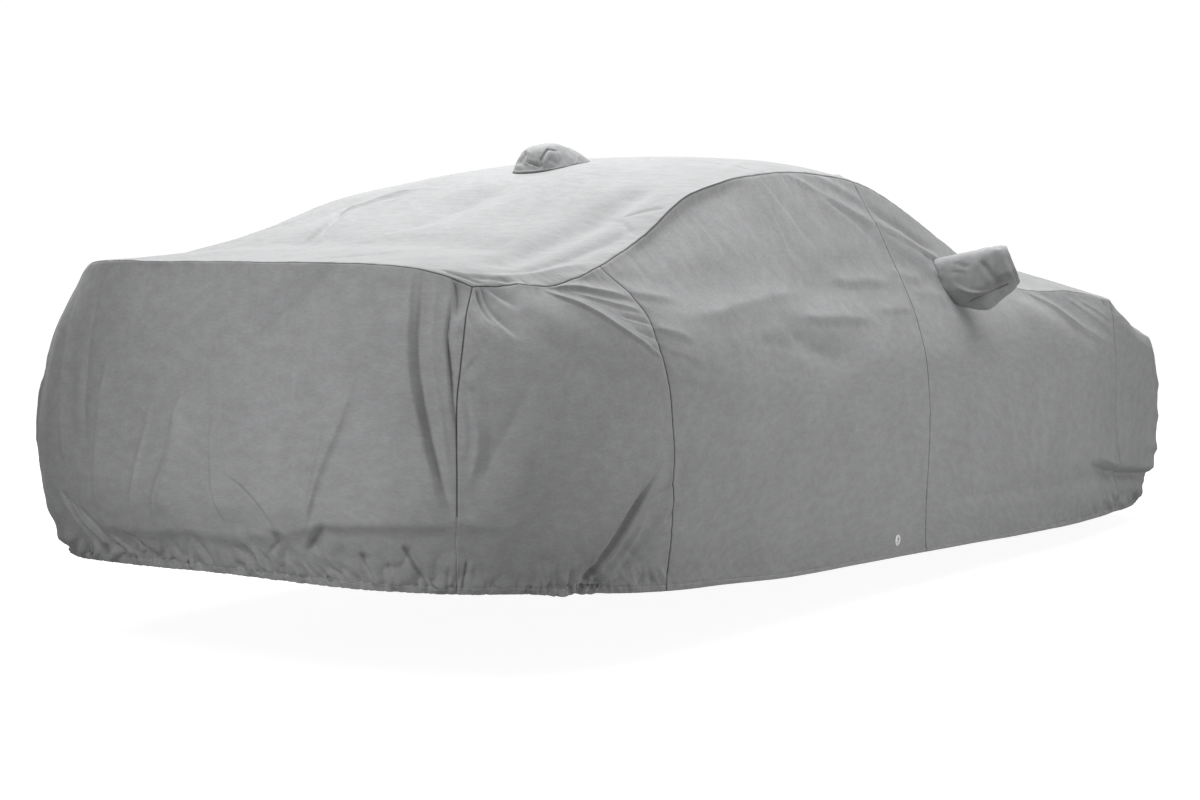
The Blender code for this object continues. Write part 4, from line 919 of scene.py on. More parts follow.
def turnedIn(core, normal, uv, gaps, sides):
    # the sewn edges carried inwards as seam allowances, and the hem folded up inside
    rows, rowDeep = carriedIn(core.shape[0], "top" in sides, "bottom" in sides)
    columns, columnDeep = carriedIn(core.shape[1], "start" in sides, "end" in sides)
    deep = np.maximum(rowDeep[:, None], columnDeep[None, :])
    points = core[rows][:, columns] - normal[rows][:, columns] * deep[..., None]
    coords = uv[rows][:, columns]
    gapsOut = {key: values[rows][:, columns] for key, values in gaps.items()}
    if "hem" in sides:
        edge, normals = points[-1], normal[-1][columns]
        up = unit(points[-3] - points[-1])
        steps = hemTurn.values()
        extra = [edge - normals * hem["fold"] * inwards + up * upwards for inwards, upwards in steps]
        points = np.concatenate([points, np.stack(extra)])
        further = [coords[-1] + (0.0, 0.004 * (k + 1)) for k in range(len(steps))]
        coords = np.concatenate([coords, np.stack(further)])
        for key, values in gapsOut.items():
            gapsOut[key] = np.concatenate([values, np.repeat(values[-1:], len(steps), 0)])
    return points, coords, gapsOut


def pulledIn(points, sides):
    # each sewn edge drawn a hair's breadth towards its own panel
    points = points.copy()
    moves = {"top": (points[0], points[1]), "bottom": (points[-1], points[-2]),
             "start": (points[:, 0], points[:, 1]), "end": (points[:, -1], points[:, -2])}
    for key in sides:
        if key in moves:
            edge, inner = moves[key]
            edge += unit(inner - edge) * sewn["gap"] / 2
    return points


skirtPanels = {
    "tailPanel": {"from": "tailCorner", "to": "tailCorner", "cell": 0.0043, "side": "tail"},
    "nosePanel": {"from": "frontCorner", "to": "frontCorner", "cell": 0.0095, "side": "nose"},
    "quarterPanelRight": {"from": "tailCorner", "to": "quarterSeam", "cell": 0.0038, "side": "right"},
    "quarterPanelLeft": {"from": "tailCorner", "to": "quarterSeam", "cell": 0.0090, "side": "left"},
    "sidePanelRight": {"from": "quarterSeam", "to": "doorSeam", "cell": 0.0064, "side": "right"},
    "sidePanelLeft": {"from": "quarterSeam", "to": "doorSeam", "cell": 0.0095, "side": "left"},
    "frontPanelRight": {"from": "doorSeam", "to": "frontCorner", "cell": 0.0064, "side": "right"},
    "frontPanelLeft": {"from": "doorSeam", "to": "frontCorner", "cell": 0.0095, "side": "left"},
}
stands = {
    "tailPanel": ("tail_panel",), "nosePanel": ("nose_panel",),
    "quarterPanelRight": ("quarter_panel_right",), "quarterPanelLeft": ("quarter_panel_left",),
    "sidePanelRight": ("side_panel_right", "eyelet_strip_right"),
    "sidePanelLeft": ("side_panel_left", "eyelet_strip_left"),
    "frontPanelRight": ("front_panel_right",), "frontPanelLeft": ("front_panel_left",),
    "rearTop": ("rear_top_panel",), "frontTop": ("front_top_panel",),
    "mirrorPocketRight": ("mirror_pocket_right",), "mirrorPocketLeft": ("mirror_pocket_left",),
    "antennaPocket": ("antenna_pocket",),
    "eyeletRingRight": ("eyelet_ring_right",), "eyeletRingLeft": ("eyelet_ring_left",),
}
mirrorOpening = {"middle": (0.366, 0.980), "half": (0.046, 0.068), "square": 2.4}
antennaOpening = {"middle": (-0.840, 0.0), "half": (0.122, 0.086), "square": 2.2}
rimInset = 0.008  # how far a panel's cloth reaches past its hole's rim, under the pocket


def seamMitre(loopPlace):
    # the direction between the top's and the skirt's own at their common edge
    turn = wrapped(loopPlace)
    side = np.where(turn < 0, -1.0, 1.0)
    place = np.abs(turn)
    skirt = skirtNormal(loopPlace, np.full(loopPlace.shape, 0.02))
    return unit(skirt + topNormalInside(place, side * shareAcross(place)))


eyeletPlanes = {}


def lengthsAlong(points):
    return np.linalg.norm(np.diff(points, axis=0), axis=-1)


def panelSpan(row):
    # where a panel starts and ends around the loop
    start, end = stationPlace[row["from"]], stationPlace[row["to"]]
    spans = {
        "tail": (-start, end), "nose": (start, 2 * halfLoop - end),
        "right": (-end, -start), "left": (start, end),
    }
    return spans[row["side"]]


def skirtRows(places, cell):
    # how far down each line lies in every column, and the cloth's length there from the top seam to the hem;
    # lines near an edge keep their distance from it in every column
    lengths = lengthsAlong(skirtPoint(places[None, :], np.linspace(0, 1, 61)[:, None])).sum(0)
    mean = lengths.mean()
    base = spreadBetween(0.0, mean, cell, seamSteps, hemSteps)
    fromTop = base[:, None] + 0 * lengths
    fromHem = (mean - base)[:, None] + 0 * lengths
    blend = rampUp(base / mean, 1.0)[:, None]
    return fromTop * (1 - blend) + (lengths - fromHem) * blend, lengths


def unevenly(value, core, seed):
    # creases wander a little off their straight lines, by a soft noise of the place
    return value + 0.006 * softNoise(core * 7.0, seed)


def cornerGathers(height, gap):
    # fine slanting gathers where the quarter is eased on to the tail
    row = cornerGather
    eased = rampUp(height - row["lowest"], 0.04) * rampUp(row["highest"] - height, 0.06)
    phase = (height - 0.9 * gap) * 2 * math.pi / row["pitch"] + 2.2 * waves(height * 14.0, 0 * gap, 61)
    rise = row["rise"] * np.sin(phase) * eased
    return rise * rampUp(gap - 0.001, 0.006) * np.exp(-((gap / row["fade"]) ** 2))


def edgePucker(turn, gap, seed):
    # the stronger and longer ripples along the seam between the top and the skirt
    return sewn["pucker"] * 1.3 * seamPucker(turn, gap, seed, 0.040)


def wobbleAt(turn, gap):
    # the sewn edge's wobble fades exponentially with the distance from it
    return seamWobble(turn) * np.exp(-gap / sewn["wobbleFade"])[..., None]


def mitred(normal, mitre, gap):
    # near a sewn edge the direction blends into the one that both panels share
    near = rampUp(sewn["mitre"] - gap, sewn["mitre"])[..., None]
    return unit(normal * (1 - near) + mitre * near)


def grooved(core, normal, rise, seamGap):
    # the surface moved out by its rise, less a bell-shaped groove along every sewn line
    groove = np.exp(-((seamGap / sewn["grooveWidth"]) ** 2))
    return core + normal * (rise - sewn["groove"] * groove)[..., None]


def pastRim(hole, first, second, inset):
    # a power of the distance from a hole's middle, 1 on a line that lies inside the solid's own rim
    total = 0.0
    for at, middle, half in zip((first, second), hole["middle"], hole["half"]):
        total = total + np.abs((at - middle) / (half - inset)) ** hole["square"]
    return total


def flatAtEyelet(side, core, normal, rise):
    # the cloth lies flat around the eyelet, where the solid's own ring sits
    row = eyeletRow
    lowest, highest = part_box("eyelet_ring_right" if side == "right" else "eyelet_ring_left")
    centre = np.array([row["x"], (lowest[1] + highest[1]) / 2, row["z"]])
    apart = np.hypot(core[..., 0] - row["x"], core[..., 2] - row["z"])
    near = apart < row["flatFar"]
    axis = unit(normal[apart < row["ringNear"]].mean(0))
    calm = rampUp(apart - row["ringNear"], row["flatFar"] - row["ringNear"])
    offPlane = (core - centre) @ axis
    pull = np.where(near, 1 - rampUp(apart - row["flatNear"], 0.07), 0.0)
    eyeletPlanes[side] = (centre, axis)
    return core - (offPlane * pull)[..., None] * axis, rise * np.where(near, calm, 1.0)


def skirtPanel(name, row):
    start, end = panelSpan(row)
    places = spreadBetween(start, end, row["cell"], seamSteps, seamSteps)
    down, lengths = skirtRows(places, row["cell"])
    level = down / lengths
    height = skirtPoint(places[None, :] + 0 * level, level)[..., 2]
    loop = places[None, :] + swayOf(places[None, :], height)
    core = skirtPoint(loop, level)
    normal = skirtNormal(loop, level)
    height = core[..., 2]
    turn = wrapped(loop)
    hemGap = lengths - down
    startGap = places[None, :] - places[0] + 0 * level
    endGap = places[-1] - places[None, :] + 0 * level

    rise = foldRise(mainFolds, turn, height, True) * np.clip(level / 0.10, 0, 1)
    bent, lifted = unevenly(turn, core, 31), unevenly(height, core, 32)
    for table in (tailCreases, quarterCreases, sideCreases, noseCreases, leftCreases):
        rise = rise + creaseRise(table, bent, lifted, True)
    # the folds are calmer beside the upright seams
    rise = rise * (1 - 0.55 * np.exp(-((np.minimum(startGap, endGap) / 0.016) ** 2)))
    rise = rise + clothRise(core) + gatherRise(turn, hemGap)
    rise = rise + crumpleRise(turn, hemGap) + breakRise(turn, height)
    seed = 40 + 3 * list(skirtPanels).index(name)
    rise = rise + sewn["pucker"] * seamPucker(height + 0.4 * startGap, startGap, seed)
    rise = rise + sewn["pucker"] * seamPucker(height + 0.4 * endGap, endGap, seed + 1)
    if name.startswith("quarter"):
        rise = rise + cornerGathers(height, endGap if row["side"] == "right" else startGap)
    rise = rise * rampUp(down + 0.003, 0.020) + edgePucker(turn, down, 77)
    # the hem's band stands out a little and dips along its stitches
    rise = rise + hem["thick"] * rampUp(hem["band"] + 0.001 - hemGap, 0.002)
    rise = rise - hem["stitchDip"] * np.exp(-(((hemGap - hem["band"]) / 0.0016) ** 2))
    normal = mitred(normal, seamMitre(turn[0])[None, :, :] + 0 * core, down)
    if name.startswith("side"):
        core, rise = flatAtEyelet(row["side"], core, normal, rise)

    seamGap = np.minimum(np.minimum(startGap, endGap), down)
    points = grooved(core, normal, rise, seamGap) + wobbleAt(turn[:1], down)
    uv = np.stack([loop if row["side"] == "nose" else turn, -down], -1)
    sides = ("top", "start", "end", "hem")
    gaps = {"seamGap": seamGap, "hemGap": hemGap}
    points, uv, gaps = turnedIn(pulledIn(points, sides), normal, uv, gaps, sides)
    keep = None
    centres = (points[:-1, :-1] + points[1:, 1:]) / 2
    if name.startswith("side"):
        keep = np.linalg.norm(centres - eyeletPlanes[row["side"]][0], axis=-1) > eyeletRow["cut"]
    if name.startswith("front"):
        keep = pastRim(mirrorOpening, centres[..., 0], centres[..., 2], rimInset) > 1
    outwards = unit(normal[normal.shape[0] // 2, normal.shape[1] // 2])
    item = addSurface(name, points, uv, gaps, keep, outwards)
    return item, float(lengthsAlong(core[len(core) // 2]).sum()), float(lengths.max())


def topPanel(name, first, last, cell):
    start, end = stationPlace[first], stationPlace[last]
    # whether its first and last rows are sewn to the other top panel, or else to the skirt
    joined = {"start": start > flankKnots[0], "end": end < flankKnots[-1]}
    places = spreadBetween(start, end, cell, seamSteps, seamSteps)
    half = smoothCurve(flankKnots, flankTable["topY"], places)
    widest = half.max() * 1.03
    base = spreadBetween(-widest, widest, cell, seamSteps, seamSteps)
    fromEdge = np.minimum(base + widest, widest - base)
    # lines near a sewn edge keep their distance from it in every row
    share = rampUp(1 - fromEdge / widest, 1.0)
    halfTrue = half[:, None] * 1.03
    off = np.sign(base) * ((halfTrue - fromEdge) * share + (1 - share) * halfTrue * (np.abs(base) / widest))
    across = np.clip(off / halfTrue, -1, 1)
    place = places[:, None] + 0 * across
    core = topPoint(place, across)
    normal = topNormalInside(place, across)
    sideGap = (1 - np.abs(across)) * halfTrue
    startGap = np.concatenate([np.zeros((1, core.shape[1])), np.cumsum(lengthsAlong(core), axis=0)])
    endGap = startGap[-1:] - startGap

    rise = foldRise(topFolds, core[..., 0], core[..., 1])
    rise = rise * np.clip((1 - np.abs(across)) / 0.2, 0, 1)
    share = (place - flankKnots[0]) / (flankKnots[-1] - flankKnots[0])
    rise = rise * np.clip(np.minimum(share, 1 - share) / 0.06, 0, 1)
    bentX, bentY = unevenly(core[..., 0], core, 33), unevenly(core[..., 1], core, 34)
    rise = rise + creaseRise(topCreases, bentX, bentY) + clothRise(core)
    outerGap = sideGap
    for key, gap, seed in (("start", startGap, 91), ("end", endGap, 92)):
        if joined[key]:
            rise = rise + sewn["pucker"] * seamPucker(core[..., 1], gap, seed)
        else:
            outerGap = np.minimum(outerGap, gap)

    # edges shared with the skirt: the sewn line's own wobble and direction
    sideTurn = np.where(across < 0, -place, place)
    rise = rise * rampUp(outerGap + 0.003, 0.020) + edgePucker(sideTurn, sideGap, 78)
    wobble = wobbleAt(sideTurn, sideGap)
    rightMitre, leftMitre = seamMitre(sideTurn[:, 0])[:, None, :], seamMitre(sideTurn[:, -1])[:, None, :]
    normal = mitred(normal, np.where((across < 0)[..., None], rightMitre, leftMitre), sideGap)
    ends = (("start", across[0], tailCurve, startGap), ("end", across[-1], noseCurve, endGap))
    for key, edge, curve, gap in ends:
        if not joined[key]:
            turn = np.interp(np.abs(edge), curve[1], curve[0]) * np.where(edge < 0, -1.0, 1.0)
            wobble = wobble + wobbleAt(turn[None, :], gap)
            rise = rise + edgePucker(turn[None, :] + 0 * gap, gap, 79)
            normal = mitred(normal, seamMitre(turn)[None, :, :], gap)
    seamGap = np.minimum(sideGap, np.minimum(startGap, endGap))
    points = grooved(core, normal, rise, seamGap) + wobble
    sides = ("top", "bottom", "start", "end")
    gaps = {"seamGap": seamGap, "hemGap": np.full(seamGap.shape, 1.0)}
    uv = np.stack([core[..., 1], startGap], -1)
    points, uv, gaps = turnedIn(pulledIn(points, sides), normal, uv, gaps, sides)
    keep = None
    if joined["end"]:
        centres = (points[:-1, :-1] + points[1:, 1:]) / 2
        keep = pastRim(antennaOpening, centres[..., 0], centres[..., 1], rimInset) > 1
    item = addSurface(name, points, uv, gaps, keep, np.array([0.0, 0.0, 1.0]))
    widths = np.linalg.norm(np.diff(core, axis=1), axis=-1).sum(1)
    return item, float(widths.max()), float(startGap[-1].max())


curvePlaces = np.linspace(0, knots[3], 200)
tailCurve = (curvePlaces, shareAcross(curvePlaces))
curvePlaces = np.linspace(knots[-4], halfLoop, 200)
noseCurve = (curvePlaces[::-1], shareAcross(curvePlaces)[::-1])


def triangles(item):
    item.data.calc_loop_triangles()
    return len(item.data.loop_triangles)


topPanels = {"rearTop": ("tailCorner", "roofSeam", 0.0075), "frontTop": ("roofSeam", "frontCorner", 0.0095)}
sheetSizes = {}
for panelName in (*skirtPanels, *topPanels):
    if panelName in skirtPanels:
        piece, wide, tall = skirtPanel(panelName, skirtPanels[panelName])
    else:
        piece, wide, tall = topPanel(panelName, *topPanels[panelName])
    sheetSizes[panelName] = (wide, tall)
    print(panelName, "made,", triangles(piece), "triangles")


def treeOf(item):
    # a panel's faces, for rays to meet
    mesh = item.data
    points = np.empty(len(mesh.vertices) * 3, np.float32)
    mesh.vertices.foreach_get("co", points)
    faces = [tuple(face.vertices) for face in mesh.polygons]
    return BVHTree.FromPolygons(points.reshape(-1, 3).tolist(), faces)


# sections of the mirror pocket from its root outwards: a boxy bag whose flat back face is its widest part
mirrorReach = (0.0, 0.18, 0.40, 0.66, 0.88, 1.0)
mirrorSections = {
    "x": (0.366, 0.364, 0.358, 0.350, 0.342, 0.338),
    "z": (0.980, 0.984, 0.995, 1.022, 1.039, 1.047),
    "halfX": (0.046, 0.050, 0.056, 0.060, 0.057, 0.048),
    "halfZ": (0.068, 0.085, 0.097, 0.077, 0.065, 0.057),
    "square": (2.4, 2.8, 3.6, 4.4, 4.6, 3.8),
    "lean": (0.0, 0.0, 0.05, 0.24, 0.40, 0.45),
    "sweep": (0.0, 0.0, 0.05, 0.25, 0.45, 0.50),
    "chin": (0.0, 0.15, 0.40, 0.45, 0.40, 0.30),
}
mirrorBag = {
    "rootY": 0.855, "endY": 1.046, "rings": 60, "around": 176,
    "seam": {"z": 0.915, "out": 0.880, "slope": 0.428, "drop": 0.006, "faint": 0.0012},
}
# creases of the back face: out from the middle, height, out, height, bend, widths, rise, lean, side troughs
mirrorCreases = {
    "darkBand": (0.950, 1.056, 1.016, 0.968, 0.006, 0.010, 0.013, -0.0080, 0.45, 0.0),
    "lightBand": (0.930, 1.050, 0.980, 0.980, 0.004, 0.009, 0.010, 0.0030, 0.0, 0.2),
    "pillowFold": (0.842, 0.985, 0.990, 0.960, -0.020, 0.005, 0.004, 0.0045, 0.55, 0.3),
    "lowerSeam": (0.880, 0.915, 1.060, 0.992, -0.006, 0.0022, 0.0022, -0.0035, 0.3, 0.0),
    "cornerNick": (0.995, 1.104, 1.028, 1.096, 0.0, 0.003, 0.003, -0.0040, 0.3, 0.3),
    "cornerNickTwo": (1.005, 1.112, 1.030, 1.104, 0.0, 0.002, 0.003, -0.0026, 0.3, 0.3),
    "rootPull": (0.850, 1.050, 0.905, 1.030, 0.0, 0.003, 0.008, -0.0036, 0.4, 0.4),
    "rootPullTwo": (0.848, 1.020, 0.890, 1.012, 0.0, 0.003, 0.006, -0.0026, 0.4, 0.4),
    "outerSoft": (1.040, 1.060, 1.072, 0.990, 0.0, 0.006, 0.008, 0.0020, 0.0, 0.3),
}
antennaBag = {
    "peakX": -0.842, "peakZ": 1.4225, "rear": 0.122, "front": 0.232, "halfY": 0.086, "narrow": 0.45,
    "around": 240,
}
# creases of the roof pocket as seen from behind on its right: along that view's width, height, and so on
antennaView = {"across": (0.5525, -0.8335), "towards": (-0.8335, -0.5525)}
antennaCreases = {
    "fold": (-0.060, 1.363, -0.006, 1.343, 0.0, 0.0025, 0.0035, -0.0065, -0.5, 0.3),
    "nick": (-0.012, 1.366, 0.014, 1.409, 0.003, 0.0030, 0.0028, -0.0065, 0.5, 0.3),
    "nickTwo": (0.004, 1.404, 0.042, 1.398, 0.0, 0.0024, 0.0030, -0.0035, 0.4, 0.3),
    "upright": (-0.010, 1.378, -0.008, 1.342, 0.0, 0.0035, 0.0040, -0.0055, 0.4, 0.2),
    "facetShade": (-0.058, 1.398, -0.086, 1.352, 0.0, 0.007, 0.011, -0.0090, -0.5, 0.0),
    "facetRidge": (-0.048, 1.396, -0.058, 1.352, 0.0, 0.0045, 0.0050, 0.0050, 0.3, 0.2),
    "bodyDip": (0.012, 1.375, 0.050, 1.350, 0.0, 0.012, 0.016, -0.0040, 0.0, 0.0),
}


def roundedBox(angle, square):
    # a circle's two shares raised to a power below one, which squares its corners
    c, s = np.cos(angle), np.sin(angle)
    return np.sign(c) * np.abs(c) ** (2 / square), np.sign(s) * np.abs(s) ** (2 / square)


def dropped(tree, points, direction, fallback):
    # where rays along one direction meet the panel that carries the pocket
    made = []
    for point, spare in zip(points, fallback):
        hit = tree.ray_cast(Vector(point), Vector(direction))[0]
        made.append(tuple(hit) if hit else tuple(spare))
    return np.array(made)


def closedSurface(name, points, uv, seam, outwards):
    # rings around a pocket joined to a pole, with the seam of the grid closed
    rings, around = points.shape[:2]
    ids = np.arange(rings * around).reshape(rings, around)
    after = np.roll(ids, -1, axis=1)
    quads = np.stack([ids[:-1], after[:-1], after[1:], ids[1:]], -1).reshape(-1, 4)
    cap = np.stack([ids[-1], after[-1], np.full(around, rings * around)], -1)
    pole = points[-1].mean(0, keepdims=True) + np.array(outwards) * 0.0008
    flat = np.concatenate([points.reshape(-1, 3), pole])
    if facesInwards(flat, quads[5], flat[quads[5][0]] - points[0].mean(0)):
        quads, cap = quads[:, ::-1], cap[:, ::-1]
    mesh = bpy.data.meshes.new(name)
    mesh.from_pydata((flat - (0, 0, heldHeight)).tolist(), [], quads.tolist() + cap.tolist())
    mesh.polygons.foreach_set("use_smooth", np.ones(len(mesh.polygons), bool))
    gaps = {"seamGap": np.append(seam.ravel(), 1.0), "hemGap": np.ones(len(flat))}
    addLayers(mesh, np.concatenate([uv.reshape(-1, 2), uv[-1].mean(0, keepdims=True)]), gaps)
    return keepPiece(name, mesh)


def mirrorPocket(name, sign, tree):
    # boxy rings from the front panel outwards; the outer end leans out below and sweeps in towards the front,
    # and the underside slopes down to the front
    row = mirrorBag
    reach = np.concatenate([[0.0], np.linspace(0, 0.9, row["rings"] - 18), np.linspace(0.91, 1.0, 18)])
    # the first ring is the seam allowance behind the panel's cloth
    flare = np.where(np.arange(len(reach)) == 0, 0.011, 0.0)[:, None]
    table = {}
    for key, values in mirrorSections.items():
        table[key] = smoothCurve(mirrorReach, np.array(values), reach)[:, None]
    angle = np.linspace(0, 2 * math.pi, row["around"], endpoint=False)
    c, s = roundedBox(angle[None, :], table["square"])
    x = table["x"] + (table["halfX"] + flare) * c
    z = table["z"] + (table["halfZ"] + flare) * s
    chin = table["chin"] * rampUp(-s, 0.9)
    z = z - chin * (x - table["x"])
    starts = np.stack([x.ravel(), np.full(x.size, sign * 1.6), z.ravel() - heldHeight], -1)
    spare = np.stack([x.ravel(), np.full(x.size, sign * 0.93), z.ravel()], -1)
    wall = sign * dropped(tree, starts, (0, -sign, 0), spare)[:, 1].reshape(x.shape)
    plane = row["rootY"] + reach[:, None] * (row["endY"] - row["rootY"])
    plane = plane + table["lean"] * (table["z"] - z) - table["sweep"] * (x - table["x"])
    ease = rampUp(reach, 0.42)[:, None]
    out = (wall - 0.0012 - 0.08 * flare) * (1 - ease) + plane * ease
    # outwards: around the box, and over the rounded rim at the end
    rim = rampUp(reach[:, None] - 0.90, 0.10)
    away = unit(np.stack([c * (1 - 0.5 * rim), 0.10 + rim + 0 * c, s * (1 - 0.5 * rim)], -1))
    point = np.stack([x, out, z], -1)
    back = rampUp(-c - 0.05, 0.4)
    under = rampUp(-s - 0.5, 0.3) * rampUp(0.5 - c, 0.4)
    rise = creaseRise(mirrorCreases, out, z) * np.maximum(back, under * (out > 0.9))
    rise = rise - 0.0012 * np.exp(-(((reach[:, None] - 0.945) / 0.010) ** 2))
    rise = rise + 0.0016 * softNoise(point * 17.0, 51) + 0.0009 * softNoise(point * 44.0, 52)
    root = np.exp(-reach[:, None] / 0.10)
    ripple = waves(angle[None, :] * 5.0 + 0 * rise, reach[:, None] * 3.0, 55)
    rise = rise + 0.0022 * ripple * root * rampUp(reach[:, None], 0.05)
    point = point + away * (rise * rampUp(reach[:, None], 0.04))[..., None]
    point[..., 1] *= sign
    # a sewn line slants up along the back face, above its lower edge
    line = row["seam"]
    offLine = np.abs((z - line["z"]) - (out - line["out"]) * line["slope"] + line["drop"])
    seamLow = offLine * 0.6 + line["faint"] + 0.003 * (1 - back)
    # painted shade: these seam values darken the colour along the sewn line, partly as thread and partly as
    # the shade of its fold, and on the root ring where the pocket meets the panel
    seam = np.minimum(reach[:, None] * 0.2 + 0 * c, np.where((out > 0.90) & (out < 1.045), seamLow, 1.0))
    uv = np.stack([angle[None, :] * 0.07 + 0 * c, reach[:, None] * 0.25 + 0 * c], -1)
    return closedSurface(name, point, uv, seam, (0, sign, 0))


def antennaPocket(name, tree):
    # a teardrop hood: rings that shrink towards its peak, each as high as one less a power of its size;
    # the power is low towards the pointed front and high around the rounded back
    row, hole = antennaBag, antennaOpening
    middle = hole["middle"][0]
    size = np.concatenate([1 - np.linspace(0, 0.12, 14), np.linspace(0.87, 0.03, 66)])[:, None]
    angle = np.linspace(0, 2 * math.pi, row["around"], endpoint=False)[None, :]
    c, s = roundedBox(angle, hole["square"])
    forwards = np.maximum(c, 0)
    baseX = middle + np.where(c > 0, row["front"], row["rear"]) * c
    baseY = row["halfY"] * s * (1 - row["narrow"] * forwards**2)
    x = row["peakX"] + (baseX - row["peakX"]) * size
    y = baseY * size
    width = np.interp(x, flankTable["topX"], flankTable["topY"])
    smoothRoof = topPoint(np.interp(x, flankTable["topX"], flankKnots), y / width)[..., 2]
    starts = np.stack([x.ravel(), y.ravel(), np.full(x.size, 1.0)], -1)
    spare = np.stack([x.ravel(), y.ravel(), smoothRoof.ravel() - heldHeight], -1)
    roof = (dropped(tree, starts, (0, 0, -1), spare)[:, 2] + heldHeight).reshape(x.shape)
    hollow = pastRim(hole, x, y, 0.0)
    roof = np.where(hollow < 0.93, smoothRoof, roof)
    peak = row["peakZ"] - float(np.interp(row["peakX"], x[-1, :2], roof[-1, :2]))
    power = 2.3 - 0.75 * forwards**1.5 + 2.6 * np.maximum(-c, 0)
    z = roof + peak * (1 - size**power) - 0.001 * size
    out = unit(np.stack([c * 0.7 * size, s * 1.1 * size, 0.35 + 1.2 * (1 - size) + 0 * c], -1))
    point = np.stack([x, y, z], -1)
    across, towards = antennaView["across"], antennaView["towards"]
    seen = (x - middle) * across[0] + y * across[1]
    facing = out[..., 0] * towards[0] + out[..., 1] * towards[1]
    rise = creaseRise(antennaCreases, seen, z) * rampUp(facing + 0.05, 0.25)
    rise = rise + 0.0018 * softNoise(point * 19.0, 61) + 0.0012 * softNoise(point * 44.0, 62)
    edge = 1 - size
    root = np.exp(-edge / 0.10)
    rise = rise + 0.0018 * waves(angle * 5.5 + 0 * rise, edge * 2.0, 65) * root * rampUp(edge, 0.04)
    point = point + out * (rise * rampUp(edge, 0.04))[..., None]
    uv = np.stack([angle * 0.12 + 0 * rise, edge * 0.14 + 0 * rise], -1)
    # painted shade: the seam values darken the colour on the rings nearest the roof, where the pocket meets
    # it
    return closedSurface(name, point, uv, edge * 0.10 + 0 * c, (0, 0, 1))


mirrorPocket("mirrorPocketRight", -1.0, treeOf(pieces["frontPanelRight"]))
mirrorPocket("mirrorPocketLeft", 1.0, treeOf(pieces["frontPanelLeft"]))
antennaPocket("antennaPocket", treeOf(pieces["rearTop"]))
# the pockets' flat cuts, with their seam allowances
sheetSizes["mirrorPocketRight"] = sheetSizes["mirrorPocketLeft"] = (0.42, 0.40)
sheetSizes["antennaPocket"] = (0.36, 0.24)
print("pockets made")


def ringMaterial():
    # a pale grey, fairly glossy surface for the metal ring, with a faint scuff in its tone and in its surface
    material, tree, shader = newMaterial("eyeletRing", {"Roughness": 0.34})
    place = addNode(tree, "ShaderNodeTexCoord", {}).outputs["Object"]
    sockets = {"Scale": 260.0, "Detail": 4.0, "Vector": place}
    scuff = addNode(tree, "ShaderNodeTexNoise", sockets).outputs["Fac"]
    ramp = addNode(tree, "ShaderNodeValToRGB", {"Fac": scuff})
    dull, bright = ramp.color_ramp.elements
    dull.position, dull.color = 0.3, (0.62, 0.62, 0.60, 1)
    bright.position, bright.color = 0.6, (0.80, 0.80, 0.79, 1)
    bump = addNode(tree, "ShaderNodeBump", {"Strength": 0.2, "Distance": 0.0003, "Height": scuff})
    tree.links.new(ramp.outputs["Color"], shader.inputs["Base Color"])
    tree.links.new(bump.outputs["Normal"], shader.inputs["Normal"])
    return material


ringPaint = ringMaterial()


def eyeletRing(name, centre, axis):
    # a turned profile: rolled front flange, barrel through the cloth, smaller back flange
    hole, flange, lip = eyeletRow["hole"], eyeletRow["flange"], eyeletRow["lip"]
    front, back = 0.0005, -0.0026
    roll = np.linspace(0, math.pi / 2, 5)
    rolledOuter = np.stack([flange - 0.002 + 0.002 * np.cos(roll), front + lip * 0.9 * np.sin(roll)], -1)
    profile = np.array([
        *rolledOuter,
        (flange * 0.72, front + lip * 1.15), (hole + 0.0030, front + lip * 1.1),
        (hole + 0.0010, front + lip * 0.8), (hole, front), (hole, back), (hole + 0.0008, back - 0.0010),
        (flange - 0.004, back - 0.0012), (flange - 0.003, back),
        (hole + 0.0016, back), (hole + 0.0016, front),
    ])
    across = unit(np.cross(axis, (0, 0, 1)))
    up = np.cross(across, axis)
    turn = np.linspace(0, 2 * math.pi, 64, endpoint=False)
    spokes = np.cos(turn)[:, None] * across + np.sin(turn)[:, None] * up
    points = centre + spokes[None] * profile[:, 0][:, None, None] + axis * profile[:, 1][:, None, None]
    count, around = len(profile), len(turn)
    ids = np.arange(count * around).reshape(count, around)
    after = np.roll(ids, -1, axis=1)
    quads = np.stack([ids, after, np.roll(after, -1, axis=0), np.roll(ids, -1, axis=0)], -1).reshape(-1, 4)
    flat = points.reshape(-1, 3)
    if facesInwards(flat, quads[0], spokes[0]):
        quads = quads[:, ::-1]
    mesh = bpy.data.meshes.new(name)
    mesh.from_pydata((flat - (0, 0, heldHeight)).tolist(), [], quads.tolist())
    mesh.polygons.foreach_set("use_smooth", np.ones(len(mesh.polygons), bool))
    mesh.set_sharp_from_angle(angle=0.8)
    mesh.materials.append(ringPaint)
    keepPiece(name, mesh)


eyeletRing("eyeletRingRight", *eyeletPlanes["right"])
eyeletRing("eyeletRingLeft", *eyeletPlanes["left"])
print("eyelets made")

for pieceName, nodeNames in stands.items():
    piece = pieces[pieceName]
    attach(piece, "root")
    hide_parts(*nodeNames)


def meshArea(item):
    return sum(face.area for face in item.data.polygons)


for pieceName, (wide, tall) in sheetSizes.items():
    piece = pieces[pieceName]
    area = meshArea(piece)
    if wide * tall < area:
        wide = area / tall * 1.02
    print(pieceName, "flat", round(wide, 3), "x", round(tall, 3), "m, area", round(area, 3), "m2")

# plain pale floor and soft studio light
studio = {
    "floorSize": 60.0, "floorShade": 0.25, "sky": 0.05, "backdrop": 1.02,
    "glow": {"From Min": 2.5, "From Max": 9.0, "To Min": 0.94, "To Max": 1.02},
}


